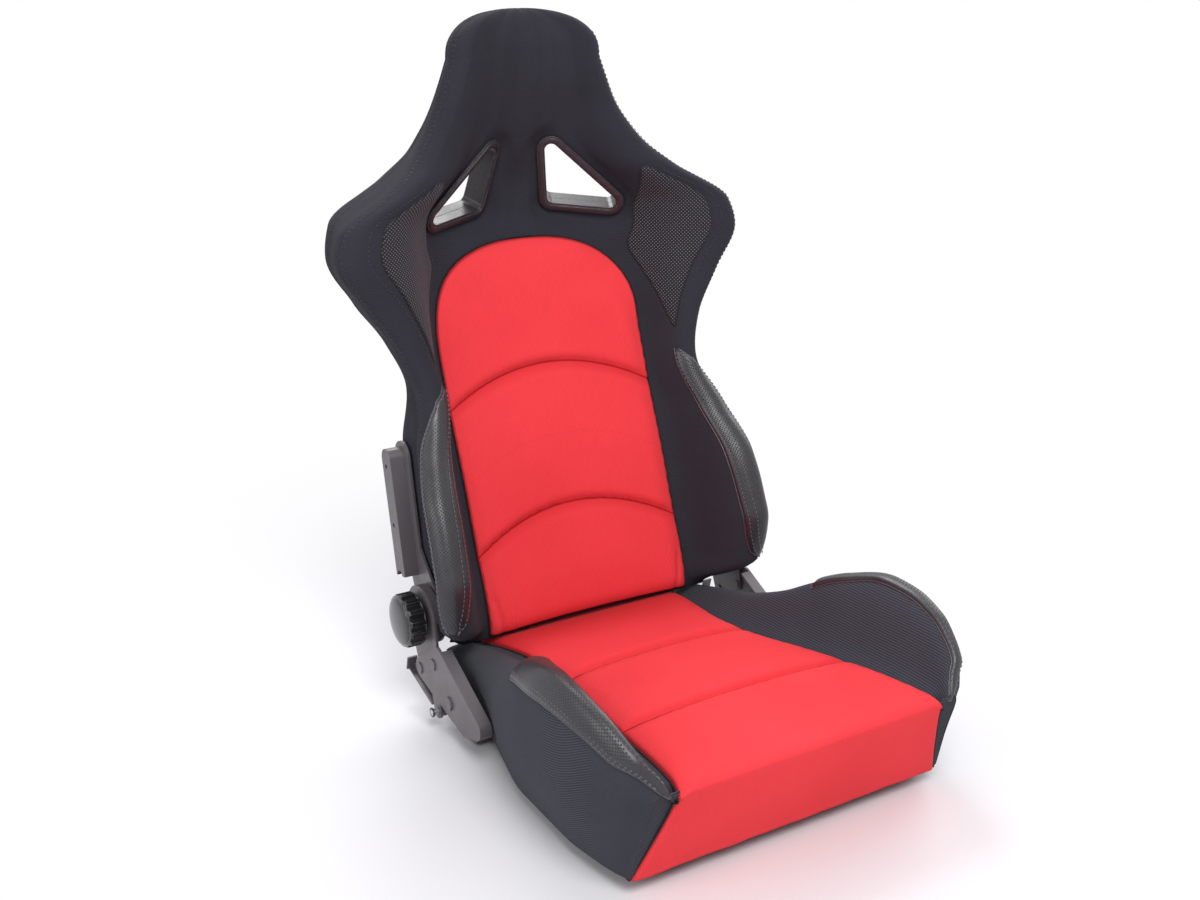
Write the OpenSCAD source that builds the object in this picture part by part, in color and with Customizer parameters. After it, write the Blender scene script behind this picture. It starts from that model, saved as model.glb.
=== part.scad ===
// Reclining sports seat with a fold-forward back.
// Origin: centre of the four base bolts, on the mounting plane. +Z up, the seat faces -Y.
// Left and right are as seen by someone who faces the seat: left is -X.

/* [Seat back] */
// Height of the top of the head above the mounting plane
back_top_z = 897; // [880:1:915]
// Height of the lower edge of the back
back_bottom_z = 92; // [91:1:94]
// Width across the shoulder wings
shoulder_w = 604; // [580:1:620]
// Height of the widest line of the shoulder wings
shoulder_z = 600; // [592:1:608]
// Width at the waist
waist_w = 430; // [420:1:434]
// Height of the waist
waist_z = 420; // [415:1:428]
// Width across the hip bolsters of the back
hip_w = 508; // [500:1:512]
// Height of the widest line of the hip bolsters
hip_z = 210; // [205:1:218]
// Width at the neck
neck_w = 346; // [334:1:356]
// Height of the neck
neck_z = 720; // [716:1:726]
// Width of the head
head_w = 222; // [206:1:236]
// How far the hip bolsters stand in front of the backrest's centre
hip_bolster = 115; // [105:1:118]
// How far the shoulder wings stand in front of the backrest's centre
wing_depth = 106; // [94:1:114]

/* [Seat cushion] */
// Depth of the cushion from its front crease to the hinge line
cushion_depth = 523; // [510:1:535]
// Greatest width of the cushion
cushion_w = 526; // [516:1:536]
// Height of the front crease of the cushion
crease_z = 137; // [133:1:141]
// Height of the bolster ridges of the cushion
bolster_z = 221; // [212:1:230]
// How far the cushion's underside lies above the mounting plane
underside_z = 18.3; // [18.3:0.1:19]
// How far the front face slopes back from crease to underside
front_slope = 39; // [30:1:44]

/* [Covers] */
// Thickness of the sewn centre pads at their crown
pad_t = 11; // [8:0.5:13]
// Thickness of the centre pads at their sewn border
pad_edge_t = 4; // [3:0.5:6]
// Thickness of the leather and mesh panels
panel_t = 2.4; // [1.6:0.2:3]
// Gap between a cover panel and the foam beneath it
panel_gap = 1.1; // [0.9:0.1:1.4]
// Half width of the pad on the back
back_pad_half = 157; // [152:1:160]
// Height at the centre of the arched top of the pad on the back
back_pad_top = 592; // [584:1:598]

/* [Harness slots] */
// Radius of the corners of a slot's opening
slot_r = 9; // [7:0.5:11]
// Width of the bezel's rim round the opening
slot_rim = 11; // [8:0.5:13]
// Wall of the bezel's tunnel
slot_wall = 2.5; // [2:0.25:3.5]
// How far the rim stands out of the cover
slot_lip = 5; // [4:0.5:7]

/* [Recliner] */
// Distance of the recliner axis behind the origin
hinge_y = 248; // [246:1:249]
// Height of the recliner axis
hinge_z = 139; // [138:1:140]
// Outer radius of the lower recliner disc
disc_r = 42; // [40:0.5:43]
// Radius of the recliner's drum
drum_r = 35; // [31:0.5:37]
// Distance of the inner face of the recliner plates from the centre
plate_x = 226; // [226:0.5:228]
// Thickness of the recliner's plates
plate_t = 3.6; // [3:0.2:4]
// Width of the recliner's drum between its plates
drum_w = 11; // [10:0.5:13]
// Radius of the hub that the back turns on
hub_r = 12; // [11:0.5:14]
// Radius of the shaft that joins both recliners
shaft_r = 5; // [4:0.25:6]
// Radial running clearance of shaft, hub and pivots
run_gap = 0.06; // [0.03:0.01:0.09]

/* [Knob] */
// Radius of the knob
knob_r = 36; // [33:0.5:37]
// Width of the knob along its axis
knob_w = 31; // [27:0.5:33]
// Number of grip flutes
knob_flutes = 14; // [8:1:16]

/* [Fold-forward mechanism] */
// Distance of the fold pivot behind the origin
pivot_y = 159; // [157:1:161]
// Height of the fold pivot
pivot_z = 53; // [53:1:55]
// Radius of the fold pivot's stud
pivot_r = 6; // [5:0.25:7]
// Distance of the lever's pivot behind the origin
lever_y = 198; // [196:1:200]
// Height of the lever's pivot
lever_z = 23; // [22:0.5:24]
// Length of the lever from its pivot to its finger tab
lever_len = 96; // [90:1:102]
// Radius of the rod that joins both levers
rod_r = 4; // [3.5:0.25:4.5]

/* [Base frame] */
// Distance between the mounting holes across the seat
bolt_dx = 370; // [350:1:376]
// Distance between the mounting holes front to back
bolt_dy = 290; // [270:1:310]
// Radius of the mounting holes
bolt_r = 4.1; // [4:0.05:5.1]
// Width of a base rail
rail_w = 30; // [28:1:34]
// Wall of a base rail
rail_wall = 2; // [1.5:0.25:2.5]
// Radius of the cross tubes
tube_r = 7.4; // [7:0.25:8.5]
// Number of sinuous springs under the cushion
spring_count = 5; // [3:1:6]
// Radius of the spring wire
wire_r = 1.9; // [1.6:0.1:2.2]

/* [Hidden] */

black_cloth = [0.10, 0.11, 0.12];
red_cloth = [0.90, 0.22, 0.24];
black_leather = [0.15, 0.15, 0.16];
mesh_cloth = [0.20, 0.20, 0.21];
black_paint = [0.13, 0.13, 0.14];
black_plastic = [0.06, 0.06, 0.07];
zinc = [0.72, 0.72, 0.74];
steel = [0.45, 0.45, 0.47];
fine = 48;

// ---- Curves -------------------------------------------------------------------------

// Point at t on a cubic curve with ends a, d and handles b, c
function bez(a, b, c, d, t) =
  pow(1 - t, 3) * a + 3 * pow(1 - t, 2) * t * b + 3 * (1 - t) * t * t * c + pow(t, 3) * d;

// Slope between stations i and i + 1 of a list of [place, value]
function rise(s, i) = (s[i + 1][1] - s[i][1]) / (s[i + 1][0] - s[i][0]);

// Slope at station i: level where the values turn round, so the curve never overshoots
function grade(s, i) =
  i == 0 ? rise(s, 0) :
  i == len(s) - 1 ? rise(s, i - 1) :
  rise(s, i - 1) * rise(s, i) <= 0 ? 0 :
  2 * rise(s, i - 1) * rise(s, i) / (rise(s, i - 1) + rise(s, i));

// Index of the stretch of stations that holds x
function stretch(s, x, i = 0) = i >= len(s) - 2 || x < s[i + 1][0] ? i : stretch(s, x, i + 1);

// Smooth value at x through the stations, held level past both ends
function along(s, x) =
  let (c = min(max(x, s[0][0]), s[len(s) - 1][0]),
       i = stretch(s, c),
       h = s[i + 1][0] - s[i][0],
       t = (c - s[i][0]) / h)
  (1 + 2 * t) * pow(1 - t, 2) * s[i][1] + t * pow(1 - t, 2) * h * grade(s, i)
  + t * t * (3 - 2 * t) * s[i + 1][1] + t * t * (t - 1) * h * grade(s, i + 1);

// Closed solid through flat rings of equal count
module loft(rings) {
  n = len(rings[0]);
  m = len(rings);
  sides = [for (r = [0:m - 2], i = [0:n - 1], k = [0, 1])
    let (a = r * n + i, b = r * n + (i + 1) % n)
    k == 0 ? [a, a + n, b] : [b, a + n, b + n]];
  ends = [[for (i = [0:n - 1]) i], [for (i = [n - 1:-1:0]) (m - 1) * n + i]];
  polyhedron([for (r = rings) each r], concat(sides, ends));
}

// A half section, given from front to rear on X >= 0, closed by its mirror image
function whole(half) = concat(half,
  [for (i = [len(half) - 2:-1:1]) [-half[i][0], half[i][1], half[i][2]]]);

// Closed shell between two grids of points, an outer and an inner one
module shell(outer, inner) {
  m = len(outer);
  n = len(outer[0]);
  q = m * n;
  skin = [for (r = [0:m - 2], c = [0:n - 2], k = [0, 1])
    let (a = r * n + c, b = a + 1, d = a + n, e = d + 1)
    k == 0 ? [a, d, b] : [b, d, e]];
  back = [for (f = skin) [f[0] + q, f[2] + q, f[1] + q]];
  rim = concat(
    [for (c = [0:n - 2], k = [0, 1]) k == 0 ? [c, c + 1, c + q] : [c + 1, c + 1 + q, c + q]],
    [for (c = [0:n - 2], k = [0, 1]) let (a = (m - 1) * n + c)
      k == 0 ? [a, a + q, a + 1] : [a + 1, a + q, a + 1 + q]],
    [for (r = [0:m - 2], k = [0, 1]) let (a = r * n)
      k == 0 ? [a, a + q, a + n] : [a + n, a + q, a + n + q]],
    [for (r = [0:m - 2], k = [0, 1]) let (a = r * n + n - 1)
      k == 0 ? [a, a + n, a + q] : [a + n, a + n + q, a + q]]);
  polyhedron([for (g = [outer, inner], r = g) each r], concat(skin, back, rim));
}

// ---- Form of the back ------------------------------------------------------------------

head_z = back_top_z - 62;
hip_front_y = 262 - hip_bolster;
wing_front_y = 412 - wing_depth;
end_r = 51;
edge_depth = 24;
relief = 32;
rear_r = 18;

half_stations = [[back_bottom_z, hip_w / 2 - 54], [back_bottom_z + 13, hip_w / 2 - 44],
  [back_bottom_z + 28, hip_w / 2 - 32], [back_bottom_z + 43, hip_w / 2 - 16],
  [back_bottom_z + 60, hip_w / 2 - 5], [hip_z, hip_w / 2], [hip_z + 90, hip_w / 2 - 4],
  [waist_z - 60, waist_w / 2 + 19], [waist_z, waist_w / 2], [waist_z + 60, waist_w / 2 + 17],
  [shoulder_z - 60, shoulder_w / 2 - 33], [shoulder_z, shoulder_w / 2],
  [shoulder_z + 35, shoulder_w / 2 - 9], [neck_z - 30, neck_w / 2 + 34],
  [neck_z, neck_w / 2], [neck_z + 50, head_w / 2 + 27], [head_z, head_w / 2]];

ridge_stations = [[back_bottom_z, 229], [back_bottom_z + 13, 215], [back_bottom_z + 28, 187],
  [back_bottom_z + 43, hip_front_y + 17], [back_bottom_z + 58, hip_front_y + 6],
  [hip_z, hip_front_y], [hip_z + 30, hip_front_y + 9], [hip_z + 90, hip_front_y + 37],
  [waist_z - 60, 234], [waist_z, 272], [waist_z + 60, 293], [shoulder_z - 60, wing_front_y - 3],
  [shoulder_z, wing_front_y], [shoulder_z + 60, wing_front_y + 10],
  [neck_z - 30, wing_front_y + 22], [neck_z, wing_front_y + 42], [neck_z + 60, 366],
  [head_z + 15, 368]];

centre_stations = [[back_bottom_z, 229], [120, 233], [150, 241], [210, 266], [300, 300], [390, 338],
  [450, 360], [510, 382], [570, 405], [630, 430], [660, 433], [neck_z, 410],
  [neck_z + 40, 398], [head_z - 25, 386], [head_z + 15, 381]];

foot_stations = [[back_bottom_z, 146], [450, 146], [540, 108], [600, 70], [640, 56],
  [neck_z, 42], [head_z, 34]];

inset_stations = [[back_bottom_z, 16], [waist_z, 16], [shoulder_z, 24], [head_z, 22]];

rear_half_stations = [[back_bottom_z, hip_w / 2 - 56], [150, hip_w / 2 - 36],
  [hip_z, hip_w / 2 - 31], [340, hip_w / 2 - 32], [waist_z, waist_w / 2 - 10],
  [waist_z + 60, waist_w / 2 + 12], [shoulder_z - 60, shoulder_w / 2 - 34],
  [shoulder_z, shoulder_w / 2 - 4], [shoulder_z + 40, shoulder_w / 2 - 14],
  [neck_z - 30, neck_w / 2 + 36], [neck_z, neck_w / 2 - 4], [neck_z + 60, head_w / 2 + 19],
  [head_z, head_w / 2 - 3]];

side_stations = [[back_bottom_z, 262], [150, 288], [hip_z, 306], [300, 338], [390, 364],
  [450, 378], [shoulder_z, 392], [660, 408], [neck_z, 420], [head_z, 421]];

rear_stations = [[back_bottom_z, 290], [150, 306], [hip_z, 328], [300, 362], [390, 394],
  [450, 414], [510, 436], [600, 461], [660, 470], [neck_z, 466], [neck_z + 60, 452],
  [head_z, 440]];

// Heights at which the moulded foam is parted into hip, waist, shoulder and head blocks
hip_block_top = hip_z + 40;
waist_block_top = waist_z + 20;
head_block_foot = neck_z + 45;

// Columns of a half section, as places on its five stretches
back_columns = [0, 0.5, 1, 1.14, 1.28, 1.44, 1.58, 1.7, 1.84, 2, 2.35, 2.7, 3, 3.25, 3.5,
  3.75, 4, 4.5, 5, 5.5, 6];
back_rows = [back_bottom_z, 100, 110, 122, 136, 152, 175, 210, hip_block_top, 300, 325, 350, 375, 400, 420,
  waist_block_top, 460, 480, 520, 560, 600, 640, 680, 720, head_block_foot, 810, back_top_z - 52, back_top_z - 27,
  back_top_z - 11, back_top_z - 2];

// Point of the section at height z, before the ends are rounded: front centre at s = 0,
// foot of the bolster at 1, ridge at 2, outermost line at 3, rear corner at 4 to 5, rear
// centre at 6
function section_raw(z, s) =
  let (w = along(half_stations, z),
       xr = w - along(inset_stations, z),
       xf = along(foot_stations, z),
       yr = along(ridge_stations, z),
       yc = along(centre_stations, z),
       wr = along(rear_half_stations, z),
       ys = along(side_stations, z),
       yb = along(rear_stations, z),
       yo = yr + edge_depth,
       ye = min(yo + relief, ys - rear_r),
       reach = 0.55 * (xr - xf))
  s <= 1 ? [s * xf, yc - 6 * s * s] :
  s <= 2 ? bez([xf, yc - 6], [xf + reach, yc - 6], [xr - reach, yr], [xr, yr], s - 1) :
  s <= 3 ? bez([xr, yr], [w - 0.45 * (w - xr), yr], [w, yr + 0.45 * edge_depth], [w, yo], s - 2) :
  s <= 3.75 ? bez([w, yo], [w, (yo + ye) / 2], [wr, (yo + ye) / 2], [wr, ye], (s - 3) / 0.75) :
  s <= 4 ? [wr, ye + (ys - rear_r - ye) * (s - 3.75) * 4] :
  s <= 5 ? [wr - rear_r + rear_r * cos(90 * (s - 4)), ys - rear_r + rear_r * sin(90 * (s - 4))] :
  bez([wr - rear_r, ys], [0.8 * wr - rear_r, ys + 4], [0.62 * wr, yb], [0, yb], s - 5);

// The lower end is a round about the recliner axis, and the head closes in a soft round
function section(z, s) =
  let (p = section_raw(min(z, head_z + 15), s),
       round_y = z < hinge_z ? sqrt(end_r * end_r - pow(hinge_z - z, 2)) : 1000,
       rise_x = max(0, (z - head_z) / (back_top_z - head_z)),
       rise_y = max(0, (z - head_z - 15) / (back_top_z - head_z - 15)),
       close_x = pow(1 - pow(rise_x, 2.4), 1 / 2.4),
       close_y = sqrt(1 - rise_y * rise_y),
       head_mid = 408)
  [p[0] * close_x, min(head_mid + (p[1] - head_mid) * close_y, hinge_y + round_y)];

// Outward direction of the section's surface at s
function section_out(z, s) =
  let (e = 0.02, d = section(z, s + e) - section(z, s - e)) [d[1], -d[0]] / norm(d);

function back_point(z, s, off) =
  let (p = section(z, s) + off * section_out(z, s)) [p[0], p[1], z];

// ---- Panels of the back ----------------------------------------------------------------

leather_low_z = 149;
leather_top_z = 436;
leather_in = [[leather_low_z, 1.82], [210, 1.80], [300, 1.76], [400, 1.72], [leather_top_z, 1.70]];
leather_out = [[leather_low_z, 2.9], [300, 2.9], [400, 2.72], [420, 2.4], [leather_top_z, 1.95]];
mesh_low_z = 462;
mesh_top_z = 690;
mesh_in = [[mesh_low_z, 1.70], [480, 1.62], [510, 1.50], [540, 1.38], [570, 1.31], [600, 1.40],
  [640, 1.50], [mesh_top_z, 1.80]];
mesh_out = [[mesh_low_z, 1.74], [480, 1.78], [510, 1.81], [560, 1.86], [610, 1.92], [650, 1.93],
  [mesh_top_z, 1.88]];

function spread(a, b, n) = [for (i = [0:n]) a + (b - a) * i / n];

module back_panel(rows, s_in, s_out, cols, lift) {
  grid = [for (off = [panel_gap + lift + panel_t, panel_gap + lift])
    [for (z = rows) [for (s = spread(along(s_in, z), along(s_out, z), cols)) back_point(z, s, off)]]];
  shell(grid[0], grid[1]);
}

module back_leather() {
  color(black_leather)
    back_panel([leather_low_z, 152, 175, 210, 250, 300, 325, 350, 375, 400, 420, leather_top_z],
      leather_in, leather_out, 8, 1.6);
}

module wing_mesh() {
  color(mesh_cloth)
    back_panel([mesh_low_z, 480, 520, 560, 600, 640, 680, mesh_top_z], mesh_in, mesh_out, 8, 0);
}

// Half width of the centre pad of the back: straight sides under a rounded arch
pad_spring_z = back_pad_top - 122;
function back_pad_w(z) = z < pad_spring_z ? back_pad_half
  : back_pad_half * pow(1 - pow((z - pad_spring_z) / (back_pad_top - pad_spring_z), 2.5), 1 / 2.5);

// Sewn channels: their height at the side and how much they arch at the centre
back_channels = [[201, 44], [386, 42]];
channel_w = 16;
function channel(d) = min(1, abs(d) / channel_w);

function back_swell(x, z) =
  let (u = x / back_pad_half,
       groove = min([for (c = back_channels) channel(z - c[0] - c[1] * (1 - u * u))]),
       border = min(1, (back_pad_w(z) - abs(x)) / 22, (z - back_bottom_z) / 20,
         (back_pad_top - z) / 16))
  pad_edge_t + (pad_t - pad_edge_t) * max(0, min(border, groove));

// Front of the foam at x: the section's place is found by halving
function place_at(z, x, a = 0, b = 2, n = 12) =
  n == 0 ? (a + b) / 2 :
  section(z, (a + b) / 2)[0] < x ? place_at(z, x, (a + b) / 2, b, n - 1)
  : place_at(z, x, a, (a + b) / 2, n - 1);
function foam_front(z, x) = section(z, place_at(z, abs(x)))[1];

back_pad_rows = [back_bottom_z + 6, 110, 122, 136, 152, 175, 188, 200, 210, 222, 236, 250, 275, 300,
  325, 350, 372, 385, 400, 415, 430, 450, 480, 500, 520, 540, 560, 574, 584, back_pad_top - 1];
back_pad_cols = [-1, -0.9, -0.72, -0.48, -0.24, 0, 0.24, 0.48, 0.72, 0.9, 1];

module back_pad() {
  rows = back_pad_rows;
  inner = [for (z = rows) [for (u = back_pad_cols) let (x = u * back_pad_w(z))
    [x, foam_front(z, x) - 1.8 * panel_gap, z]]];
  outer = [for (r = inner) [for (p = r) [p[0], p[1] - back_swell(p[0], p[2]), p[2]]]];
  color(red_cloth) shell(outer, inner);
}

// ---- Foam body of the back --------------------------------------------------------------

slot_centre = [82, 411, 663];
slot_yaw = 24.8;
slot_pitch = 17.9;
slot_corners = [[-30, 51], [-26, -21], [54, -30]];
slot_seat = 0;
slot_mid = -11;
slot_rear = -24;

// Local frame of the harness slot on the right: +Z points out of the cover, towards the driver
module at_slot() {
  translate(slot_centre) rotate([90 + slot_pitch, 0, -slot_yaw]) children();
}

module slot_outline(r) {
  hull()
    for (c = slot_corners)
      translate(c) circle(r, $fn = 32);
}

module both() {
  children();
  mirror([1, 0, 0]) children();
}

// ---- Frame inside the back ----------------------------------------------------------------

hoop_tilt = 19.8;
hoop_foot = [0, 268, 152];
hoop_half = 150;
hoop_h = 440;
hoop_r = 9;
hoop_bend = 60;
head_half = 24;
head_h = 226;
bar_y = hoop_foot[1] + hoop_h * sin(hoop_tilt);
bar_z = hoop_foot[2] + hoop_h * cos(hoop_tilt);
head_y = bar_y + 21.5;
head_tube_r = 6;
head_bend = 18;
embed_gap = 0.4;

// Hoop of round tube, open at its feet, grown by g
module hoop(half, h, r, bend, g) {
  for (side = [-1, 1]) {
    translate([side * half, 0, -g]) cylinder(r = r + g, h = h - bend + g, $fn = fine);
    translate([side * (half - bend), 0, h - bend]) rotate([90, 0, 0]) rotate(side > 0 ? 0 : 90)
      rotate_extrude(angle = 90, $fn = fine) translate([bend, 0]) circle(r + g, $fn = fine);
  }
  translate([bend - half, 0, h]) rotate([0, 90, 0])
    cylinder(r = r + g, h = 2 * (half - bend), $fn = fine);
}

module at_hoop() {
  translate(hoop_foot) rotate([-hoop_tilt, 0, 0]) children();
}

module at_head() {
  translate([0, head_y, bar_z - 6]) children();
}

arm_foot_y = 298;
arm_foot_z = 180;
arm_tilt = 11.7;
arm_h = 158;
arm_r = 14;
arm_wall = 3;
arm_depth = 20;
arm_bolt_u = 2.5;
arm_bolt_v = [68, 148];
arm_bolt_r = 4;
strut_t = 3;
strut_x = plate_x - 13;
strut_front = 30;
strut_rear = 14;

// Local frame of an arm: +Y across it, +Z along it
module at_arm() {
  translate([0, arm_foot_y, arm_foot_z]) rotate([-arm_tilt, 0, 0]) children();
}

// Side plates that the recliners bolt to, and the bars that tie them to the hoop, grown by g
module struts(g) {
  both() at_arm() {
    translate([strut_x - g, -strut_front - g, 40 - g])
      cube([strut_t + 2 * g, strut_front + strut_rear + 2 * g, 126 + 2 * g]);
    for (p = [[56, -12], [132, -4]])
      translate([hoop_half - g, p[1] - g, p[0] - g])
        cube([strut_x - hoop_half + 2 * g, 8 + 2 * g, 8 + 2 * g]);
  }
}

module at_arm_bolts() {
  both() at_arm()
    for (v = arm_bolt_v)
      translate([0, arm_bolt_u, v]) rotate([0, 90, 0]) children();
}

module back_frame() {
  color(steel)
    difference() {
      union() {
        at_hoop() hoop(hoop_half, hoop_h, hoop_r, hoop_bend, 0);
        struts(0);
      }
      at_arm_bolts() translate([0, 0, strut_x - 1])
        cylinder(r = arm_bolt_r + run_gap, h = strut_t + 2, $fn = fine);
    }
}

// Lugs that carry the head loop on the hoop's top bar, grown by g
module head_lugs(g) {
  for (x = [-head_half, head_half])
    translate([x - 5 - g, bar_y + hoop_r + 0.02 - g, bar_z - 6 - g])
      cube([10 + 2 * g, head_y - bar_y - hoop_r + 2 * g, 12 + 2 * g]);
}

module head_frame() {
  color(steel) {
    at_head() hoop(head_half, head_h, head_tube_r, head_bend, 0);
    head_lugs(0);
  }
}

// One foam block of the back with its cloth, between two heights
module foam_block(from, to) {
  color(black_cloth)
    difference() {
      loft([for (z = back_rows) if (z >= from && z <= to) whole([for (s = back_columns)
        let (p = section(z, s)) [s == 0 || s == 6 ? 0 : p[0], p[1], z]])]);
      both() at_slot() translate([0, 0, -120])
        linear_extrude(200) slot_outline(slot_r + slot_wall + embed_gap);
      both() at_slot() translate([0, 0, slot_seat - embed_gap])
        linear_extrude(60) slot_outline(slot_r + slot_rim + embed_gap);
      both() at_slot() translate([0, 0, slot_rear - 60])
        linear_extrude(60 + embed_gap) slot_outline(slot_r + slot_rim - 2 + embed_gap);
      translate([-shoulder_w, hinge_y, hinge_z]) rotate([0, 90, 0])
        cylinder(r = shaft_r + 2, h = 2 * shoulder_w, $fn = fine);
      at_hoop() hoop(hoop_half, hoop_h, hoop_r, hoop_bend, embed_gap);
      at_head() hoop(head_half, head_h, head_tube_r, head_bend, embed_gap);
      head_lugs(embed_gap);
      struts(embed_gap);
      at_arm_bolts() translate([0, 0, strut_x - 8])
        cylinder(r = arm_bolt_r + 1, h = 40, $fn = fine);
    }
}

module hip_cover() {
  foam_block(back_bottom_z, hip_block_top);
}

module back_cover() {
  foam_block(hip_block_top, waist_block_top);
}

module shoulder_cover() {
  foam_block(waist_block_top, head_block_foot);
}

module head_cover() {
  foam_block(head_block_foot, back_top_z);
}

// ---- Bezels that line the harness slots ----------------------------------------------------

module bezel_ring(grow_out, grow_in, from, to) {
  translate([0, 0, from])
    linear_extrude(to - from)
      difference() {
        slot_outline(slot_r + grow_out);
        slot_outline(slot_r + grow_in);
      }
}

module slot_bezel() {
  color(black_plastic) at_slot() {
    bezel_ring(slot_rim, 0, slot_seat, slot_seat + slot_lip);
    bezel_ring(slot_rim - 3, 3, slot_seat + slot_lip - 0.01, slot_seat + slot_lip + 2);
    bezel_ring(slot_wall, 0, slot_mid, slot_seat + 0.01);
  }
}

module slot_liner() {
  color(black_plastic) at_slot() {
    bezel_ring(slot_wall, 0, slot_rear, slot_mid - 0.2);
    bezel_ring(slot_rim - 2, 0, slot_rear - 4, slot_rear + 0.01);
  }
}

// ---- Recliners and arms --------------------------------------------------------------------

upper_x = plate_x + plate_t;
drum_x = upper_x + drum_w;
lower_x = drum_x + 0.3;
outer_x = lower_x + plate_t;
skin_x = outer_x + plate_t;
rivet_r = 8;
rivet_places = [[250, 63], [207, 87]];

module at_hinge() {
  translate([0, hinge_y, hinge_z]) rotate([0, 90, 0]) children();
}

// Flat plate with its outline in Y and Z, from X = from to X = to
module plate(from, to) {
  translate([from, 0, 0]) rotate([90, 0, 90]) linear_extrude(to - from) children();
}

module bore(place, r) {
  translate([plate_x - 40, place[0], place[1]]) rotate([0, 90, 0])
    cylinder(r = r, h = 100, $fn = fine);
}

module recliner_upper() {
  color(black_paint)
    difference() {
      union() {
        plate(plate_x, upper_x) hull() {
          translate([hinge_y, hinge_z]) circle(disc_r - 4, $fn = fine);
          translate([arm_foot_y - 1, arm_foot_z + 25]) circle(25, $fn = 32);
        }
        at_arm() plate(plate_x, upper_x) hull() {
          translate([-6, 20]) circle(22, $fn = 32);
          translate([-6, arm_h]) circle(22, $fn = 32);
        }
      }
      at_hinge() cylinder(r = hub_r + run_gap, h = 400, $fn = fine);
      at_arm_bolts() translate([0, 0, plate_x - 5]) cylinder(r = arm_bolt_r + 0.3, h = 20, $fn = fine);
    }
}

// Recliner drum: a pressed cup with a raised centre and a ring of pips
module recliner_drum() {
  color(black_paint)
    difference() {
      union() {
        at_hinge() translate([0, 0, upper_x]) rotate_extrude($fn = 2 * fine) polygon([
          [hub_r + run_gap, 0], [drum_r, 0], [drum_r, drum_w - 4], [drum_r - 1.5, drum_w - 2.5],
          [drum_r - 7, drum_w - 2.5], [drum_r - 9, drum_w], [hub_r + run_gap, drum_w]]);
        for (a = [0:60:300])
          at_hinge() rotate(a) translate([drum_r - 4, 0, upper_x + drum_w - 3])
            cylinder(r = 2, h = 2, $fn = 24);
      }
    }
}

module recliner_lower() {
  color(black_paint)
    difference() {
      union() {
        plate(lower_x, outer_x) hull() {
          translate([hinge_y, hinge_z]) circle(disc_r, $fn = 2 * fine);
          translate(rivet_places[0]) circle(10, $fn = 32);
          translate(rivet_places[1]) circle(9, $fn = 32);
        }
        at_hinge() translate([0, 0, plate_x]) cylinder(r = hub_r, h = lower_x - plate_x + 1, $fn = fine);
        at_hinge() translate([0, 0, outer_x]) cylinder(r = hub_r + 4, h = 1.2, $fn = fine);
        at_hinge() translate([0, 0, upper_x + 2]) rotate(145)
          rotate_extrude(angle = 118, $fn = 2 * fine)
            translate([disc_r - plate_t - 0.6, 0]) square([plate_t, lower_x - upper_x - 2 + 0.5]);
      }
      at_hinge() cylinder(r = shaft_r + run_gap, h = 400, $fn = fine);
      for (p = rivet_places)
        bore(p, 4 + run_gap);
    }
}

// Cover channel of an arm, open towards its plate and at its foot
module upper_arm() {
  module strip(r, top) {
    hull() {
      circle(r, $fn = 32);
      translate([0, top]) circle(r, $fn = 32);
    }
  }
  color(black_paint)
    at_arm() difference() {
      plate(upper_x, upper_x + arm_depth) strip(arm_r, arm_h);
      plate(upper_x - 1, upper_x + arm_depth - arm_wall) strip(arm_r - arm_wall, arm_h);
      translate([upper_x - 1, -arm_r - 1, -arm_r - 1]) cube([arm_depth + 2, 2 * arm_r + 2, arm_r]);
      plate(upper_x - 1, upper_x + arm_depth + 1) translate([3, -2]) circle(8, $fn = 32);
      for (v = arm_bolt_v)
        translate([upper_x, arm_bolt_u, v]) rotate([0, 90, 0])
          cylinder(r = 3.2, h = arm_depth + 1, $fn = 32);
    }
}

module arm_bolts() {
  color(zinc) at_arm_bolts() {
    translate([0, 0, strut_x - 5]) cylinder(r = arm_bolt_r, h = upper_x - strut_x + 5.1, $fn = fine);
    difference() {
      translate([0, 0, upper_x]) cylinder(r = 5.6, h = 5, $fn = fine);
      translate([0, 0, upper_x + 2]) cylinder(r = 3, h = 4, $fn = 6);
    }
  }
}

// ---- Knob and its shaft ------------------------------------------------------------------------

knob_x = skin_x + 1.2;
shaft_left = knob_x + knob_w - 8;
shaft_right = outer_x + 6;

// Turned body with a domed face and a stepped rim, cut by long grip flutes
module knob() {
  color(black_plastic)
    difference() {
      mirror([1, 0, 0]) at_hinge() translate([0, 0, knob_x]) rotate_extrude($fn = 96) polygon(concat(
        [[0, 0], [knob_r - 3, 0], [knob_r - 1, 2], [knob_r, 5], [knob_r, knob_w - 9],
         [knob_r - 2, knob_w - 6], [knob_r - 4, knob_w - 5.4]],
        [for (a = [0:10:90]) [(knob_r - 4) * cos(a), knob_w - 5 + 5 * sin(a)]]));
      for (i = [0:knob_flutes - 1])
        mirror([1, 0, 0]) at_hinge() rotate(360 * (i + 0.5) / knob_flutes)
          translate([knob_r + 6.8, 0, knob_x + 3]) cylinder(r = 9, h = knob_w - 10, $fn = fine);
      mirror([1, 0, 0]) at_hinge() translate([0, 0, knob_x - 1])
        cylinder(r = shaft_r + 0.02, h = shaft_left - knob_x + 1.2, $fn = fine);
    }
}

module cross_shaft() {
  color(zinc)
    translate([-shaft_left, hinge_y, hinge_z]) rotate([0, 90, 0])
      cylinder(r = shaft_r, h = shaft_left + shaft_right, $fn = fine);
}

module shaft_cap() {
  color(black_plastic)
    at_hinge() translate([0, 0, outer_x + 1.5]) rotate_extrude($fn = fine) polygon([
      [shaft_r + 0.02, 0], [hub_r, 0], [hub_r, 3], [hub_r - 3, 6.5], [0, 7.2],
      [0, 4.7], [shaft_r + 0.02, 4.7]]);
}

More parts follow.
